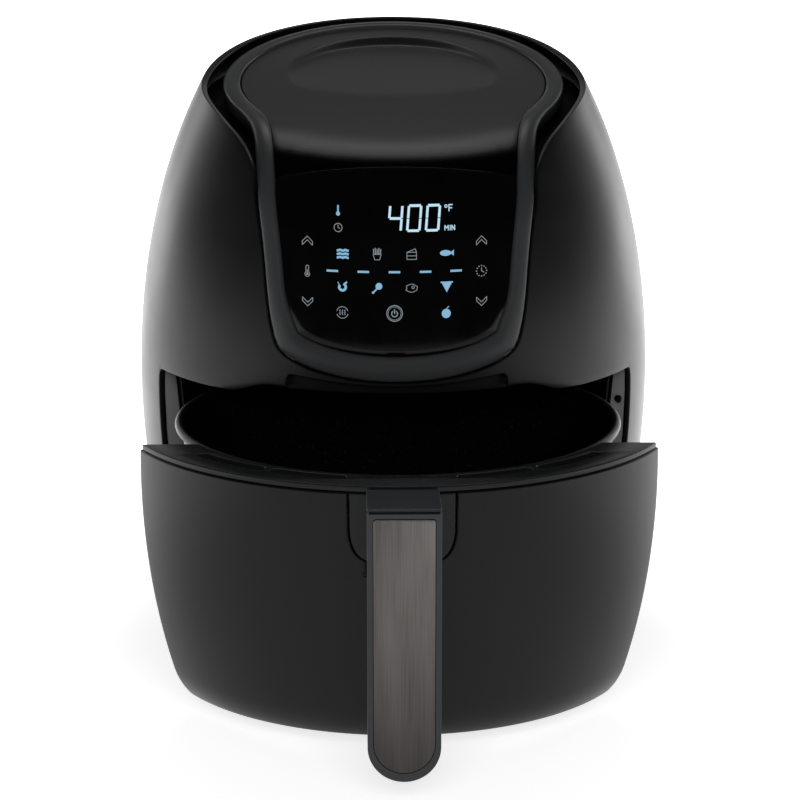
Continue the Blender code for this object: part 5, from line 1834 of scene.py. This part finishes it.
@dataclass
class Handle:
    """Handle: base in the seat, arched grip with its bridge, brushed inlay and screws."""

    front: float = -0.1965
    thick: float = 0.017
    top: float = 0.147
    low: float = 0.0143
    half: float = 0.0172
    inlay_half: float = 0.0146
    inlay_top: float = 0.1428
    inlay_low: float = 0.0185
    edge: float = 0.0010
    slot_low: float = 0.1449
    slot_high: float = 0.1461
    slot_depth: float = 0.0034
    base_gap: float = 0.0009
    base_wall: float = 0.006
    base_edge: float = 0.0006
    corner: float = 0.0016         # radius at the grip's nose and the inlay's upper corners

    def side_outline(self) -> Array:
        """Side outline of the grip and bridge as (y, z)."""
        back = self.front + self.thick
        root = -float(EGG.radius(0.135)) - 0.0006
        crest = flowing_line([(root, 0.1405), (-0.150, 0.1432), (-0.168, 0.1452), (-0.183, 0.1465),
                              (self.front + self.corner, self.top)], 5)
        nose = arc(self.corner, 90.0, 180.0, 5, (self.front + self.corner, self.top - self.corner))
        under = flowing_line([(back, 0.110), (back + 0.0008, 0.1165), (back + 0.0032, 0.1220),
                              (back + 0.0080, 0.1256), (back + 0.0150, 0.1273), (root, 0.1275)], 4)
        foot = np.array([(self.front, 0.090), (self.front, 0.050), (self.front, self.low - 0.001),
                         (back, self.low - 0.001), (back, 0.050)])
        return np.vstack([crest, nose[1:], foot, under])

    def front_outline(self, half: float, low: float, high: float) -> Array:
        """Outline with a half-round foot as (x, z)."""
        foot = arc(half, 180.0, 360.0, 40, (0.0, low + half))
        return np.vstack([foot, [(half, high), (-half, high)]])

    def grip(self) -> Piece:
        """The grip and bridge in one piece."""
        body = prism("visual_handle_grip", self.side_outline(), -0.030, 0.030, "X")
        shape = prism("grip_shape", self.front_outline(self.half, self.low, 0.170), -0.240, -0.100, "Y")
        grip = carved(body, [shape], 'INTERSECT')
        grip = rounded(grip, self.edge, 3, 35.0)
        pocket = prism("inlay_pocket", self.inlay_outline(0.0), self.front - 0.010,
                       self.front + 0.0015, "Y")
        depth = self.front + self.slot_depth
        slot = np.array([(self.front - 0.004, self.slot_low), (depth, self.slot_low),
                         (depth, self.slot_high), (self.front - 0.004, self.slot_high)])
        cut = prism("slot", slot, -self.half + 0.0009, self.half - 0.0009, "X")
        return carved(grip, [pocket, cut])

    def inlay_outline(self, inset: float) -> Array:
        """Outline of the inlay as (x, z)."""
        half, top = self.inlay_half - inset, self.inlay_top - inset
        foot = arc(half, 180.0, 360.0, 40, (0.0, self.inlay_low + self.inlay_half))
        right = arc(self.corner, 0.0, 90.0, 5, (half - self.corner, top - self.corner))
        left = arc(self.corner, 90.0, 180.0, 5, (self.corner - half, top - self.corner))
        return np.vstack([foot, right, left])

    def base(self) -> Piece:
        """The base plate that fills the seat, flush with the drawer front."""
        seat = DrawerFront()
        heights = toothed(0.0982 + self.base_edge, 0.1394, 44, self.base_edge)
        shares = toothed(-1.0, 1.0, 16, 0.03)
        z = heights[:, None]
        half = seat.seat(z) - self.base_gap
        x = shares * half
        near = np.minimum.reduce([(half - np.abs(x)), np.broadcast_to(z - heights[0], x.shape),
                                  np.broadcast_to(heights[-1] - z, x.shape)])
        inset = rim_inset(near, self.base_edge)
        radius = EGG.radius(z) - 0.0002
        outer = np.stack([x, -np.sqrt((radius - inset) ** 2 - x * x), z + 0.0 * x], axis=-1)
        inner = np.stack([x, -np.sqrt((radius - self.base_wall + inset) ** 2 - x * x), z + 0.0 * x], axis=-1)
        return sheet("visual_handle_base", outer, inner)

    def build(self) -> None:
        """Make and dress the handle."""
        MAKER.dress(shifted(self.base(), DRAWER_Y), DECK_ABS, Body.DRAWER, Slot.TRIM, "handle_base",
                    sharp=50.0)
        MAKER.dress(shifted(self.grip(), DRAWER_Y), HANDLE_ABS, Body.DRAWER, Slot.TRIM, "handle_grip")
        inlay = prism("visual_handle_inlay", self.inlay_outline(0.00025), self.front,
                      self.front + 0.0012, "Y")
        inlay = rounded(inlay, 0.00035, 2, 50.0)
        MAKER.dress(shifted(inlay, DRAWER_Y), INLAY_METAL, Body.DRAWER, Slot.INLAY, "handle_inlay")
        MAKER.coat(PLAIN_STEEL, "handle_screw_left", "handle_screw_right")


@dataclass
class CrisperTray:
    """Perforated tray on three silicone bumpers."""

    radius: float = 0.0900
    thick: float = 0.0015
    hole: float = 0.0028
    pitch: float = 0.0098
    field_radius: float = 0.0790

    def tree(self) -> Tree:
        """Geometry nodes that punch a hexagonal field of holes into a disc."""
        tree = geometry_tree("perforated_disc", Radius='Float', Hole='Float',
                             Thickness='Float', Material='Material')
        given = add_node(tree, "NodeGroupInput").outputs
        hole = add_node(tree, "GeometryNodeCurvePrimitiveCircle", {"Resolution": 12,
                        "Radius": given["Hole"]})
        holes = add_node(tree, "GeometryNodeInstanceOnPoints", {"Points": given["Geometry"],
                         "Instance": hole})
        real = add_node(tree, "GeometryNodeRealizeInstances", {0: holes})
        rim = add_node(tree, "GeometryNodeCurvePrimitiveCircle", {"Resolution": 144,
                       "Radius": given["Radius"]})
        both = add_node(tree, "GeometryNodeJoinGeometry")
        tree.links.new(real.outputs[0], both.inputs[0])
        tree.links.new(rim.outputs[0], both.inputs[0])
        disc = add_node(tree, "GeometryNodeFillCurve", {0: both})
        thick = add_node(tree, "GeometryNodeExtrudeMesh", {"Mesh": disc,
                         "Offset Scale": given["Thickness"], "Individual": False})
        under = add_node(tree, "GeometryNodeFlipFaces", {0: disc})
        whole = add_node(tree, "GeometryNodeJoinGeometry")
        tree.links.new(thick.outputs[0], whole.inputs[0])
        tree.links.new(under.outputs[0], whole.inputs[0])
        merged = add_node(tree, "GeometryNodeMergeByDistance", {0: whole, "Distance": 0.00001})
        dressed = add_node(tree, "GeometryNodeSetMaterial", {"Geometry": merged,
                           "Material": given["Material"]})
        add_node(tree, "NodeGroupOutput", {0: dressed})
        return tree

    def build(self) -> None:
        """Make and dress the tray and its bumpers."""
        spots = []
        for row in range(-12, 13):
            for column in range(-12, 13):
                x = self.pitch * (column + 0.5 * (row % 2))
                y = self.pitch * row * math.sqrt(0.75)
                if math.hypot(x, y) < self.field_radius:
                    spots.append((x, y, 0.0))
        mesh = bpy.data.meshes.new("visual_crisper_tray")
        mesh.from_pydata(spots, [], [])
        tray = with_nodes(new_object("visual_crisper_tray", mesh), self.tree(),
                          {"Radius": self.radius, "Hole": self.hole, "Thickness": self.thick,
                           "Material": PAN_COAT.material()})
        spot = middle("crisper_tray")
        tray.data.transform(Matrix.Translation((spot.x, spot.y, spot.z - self.thick / 2.0)))
        MAKER.dress(welded(tray), PAN_COAT, Body.TRAY, Slot.NON_STICK, "crisper_tray")
        for k in (1, 2, 3):
            node = "tray_bumper_" + str(k)
            bumper = rounded(copy_of(node, "visual_" + node), 0.0009)
            MAKER.dress(bumper, SOFT_SILICONE, Body.TRAY, Slot.SILICONE, node)


@dataclass
class Internals:
    """Nodes inside the housing that are carried over with their own finishes."""

    zinc: tuple = ("heating_chamber", "motor_bracket")
    steel: tuple = ("heater_guard", "heater_bracket_1", "heater_bracket_2", "temperature_sensor",
                    "thermal_cutout", "convection_fan", "motor_shaft", "fan_nut", "motor_body",
                    "motor_standoff_1", "motor_standoff_2", "motor_standoff_3")
    plastic: tuple = ("inlet_ring", "cooling_fan", "relay", "capacitor", "display_module",
                      "drawer_switch", "switch_plunger")
    boards: tuple = ("power_board", "display_board")

    def build(self) -> None:
        """Give the hidden nodes their finishes."""
        MAKER.coat(ZINC, *self.zinc)
        MAKER.coat(PLAIN_STEEL, *self.steel)
        MAKER.coat(HEATER_TUBE, "heating_element")
        # the inlet ring's near-black is painted shade for the gap beside the band
        MAKER.coat(BLACK_PP_AND_GAP_SHADE, *self.plastic)
        MAKER.coat(BOARD, *self.boards)


# ---- studio ----

@dataclass
class Studio:
    """Pale floor, gradient surround, soft lights and the camera."""

    target: tuple[float, float, float] = (0.0021, -0.0124, 0.1349)
    distance: float = 1.530
    elevation: float = 14.4
    azimuth: float = -0.96
    lens: float = 126.9
    floor: str = "dcdcdc"
    glow: float = 0.72
    side_glow: float = 2.2
    reach: float = 9.0             # half side of the floor

    def ground(self) -> None:
        """Lay the pale floor."""
        mesh = bpy.data.meshes.new("floor")
        corners = [(x * self.reach, y * self.reach, 0) for x, y in ((-1, -1), (1, -1), (1, 1), (-1, 1))]
        mesh.from_pydata(corners, [], [(0, 1, 2, 3)])
        obj = new_object("floor", mesh)
        finish = LightTable("white_light_table", self.floor, self.glow, self.side_glow)
        mesh.materials.append(finish.material())

    def surround(self) -> None:
        """Bright surround behind and beside, darker in front."""
        world = bpy.data.worlds.new("studio")
        world.use_nodes = True
        tree = world.node_tree
        tree.nodes.clear()
        place = add_node(tree, "ShaderNodeTexCoord")
        axes = add_node(tree, "ShaderNodeSeparateXYZ", {0: place.outputs["Generated"]})
        behind = add_node(tree, "ShaderNodeMapRange", {0: axes.outputs["Y"], 1: 0.0, 2: 0.7, 3: 0.04,
                          4: 1.1}, interpolation_type='SMOOTHSTEP')
        high = add_node(tree, "ShaderNodeMapRange", {0: axes.outputs["Z"], 1: 0.15, 2: 0.48, 3: 1.0,
                        4: 0.16}, interpolation_type='SMOOTHSTEP')
        both = add_node(tree, "ShaderNodeMath", {0: behind, 1: high},
                        operation='MULTIPLY')
        shade = add_node(tree, "ShaderNodeBackground", {"Strength": both})
        add_node(tree, "ShaderNodeOutputWorld", {"Surface": shade})
        bpy.context.scene.world = world

    def light(self, name: str, place: Sequence[float], size: tuple[float, float],
              energy: float, mirrored: bool = True) -> None:
        """Hang a soft area light that points at the target.

        Args:
            name: the light's name.
            place: where it hangs.
            size: its width and height.
            energy: its power in watts.
            mirrored: whether it shows in glossy surfaces.
        """
        data = bpy.data.lights.new(name, 'AREA')
        data.shape = 'RECTANGLE'
        data.size, data.size_y = size
        data.energy = energy
        obj = new_object(name, data)
        obj.location = place
        way = Vector(self.target) - obj.location
        obj.rotation_euler = way.to_track_quat('-Z', 'Y').to_euler()
        obj.visible_glossy = mirrored

    def camera(self) -> None:
        """Place the camera."""
        data = bpy.data.cameras.new("camera")
        data.lens = self.lens
        obj = new_object("camera", data)
        turn, rise = math.radians(self.azimuth), math.radians(self.elevation)
        ahead = Vector((-math.sin(turn) * math.cos(rise), math.cos(turn) * math.cos(rise),
                        -math.sin(rise)))
        obj.location = Vector(self.target) - ahead * self.distance
        obj.rotation_euler = ahead.to_track_quat('-Z', 'Y').to_euler()
        bpy.context.scene.camera = obj

    def build(self) -> None:
        """Set up the studio."""
        self.ground()
        self.surround()
        self.light("top_box", (0.0, 0.72, 1.55), (1.1, 0.30), 4.5)
        self.light("left_box", (-1.10, 1.15, 0.50), (0.5, 1.4), 3.6)
        self.light("right_box", (1.10, 1.15, 0.50), (0.5, 1.4), 4.0)
        self.light("front_fill", (0.0, -2.2, 1.1), (1.6, 1.0), 36.0, mirrored=False)
        self.camera()
        bpy.context.scene.view_settings.view_transform = 'Standard'


def main() -> None:
    """Build and dress the whole air fryer."""
    logging.basicConfig(level=logging.INFO, format="%(name)s %(message)s")
    for part in (HousingShell(), Lid(), Display(), Opening(), RearParts(), Base(), DrawerFront(),
                 Pan(), Handle(), CrisperTray(), Internals(), Studio()):
        part.build()
    LOG.info("%d pieces", len(MAKER.made))


if __name__ == "__main__":
    main()
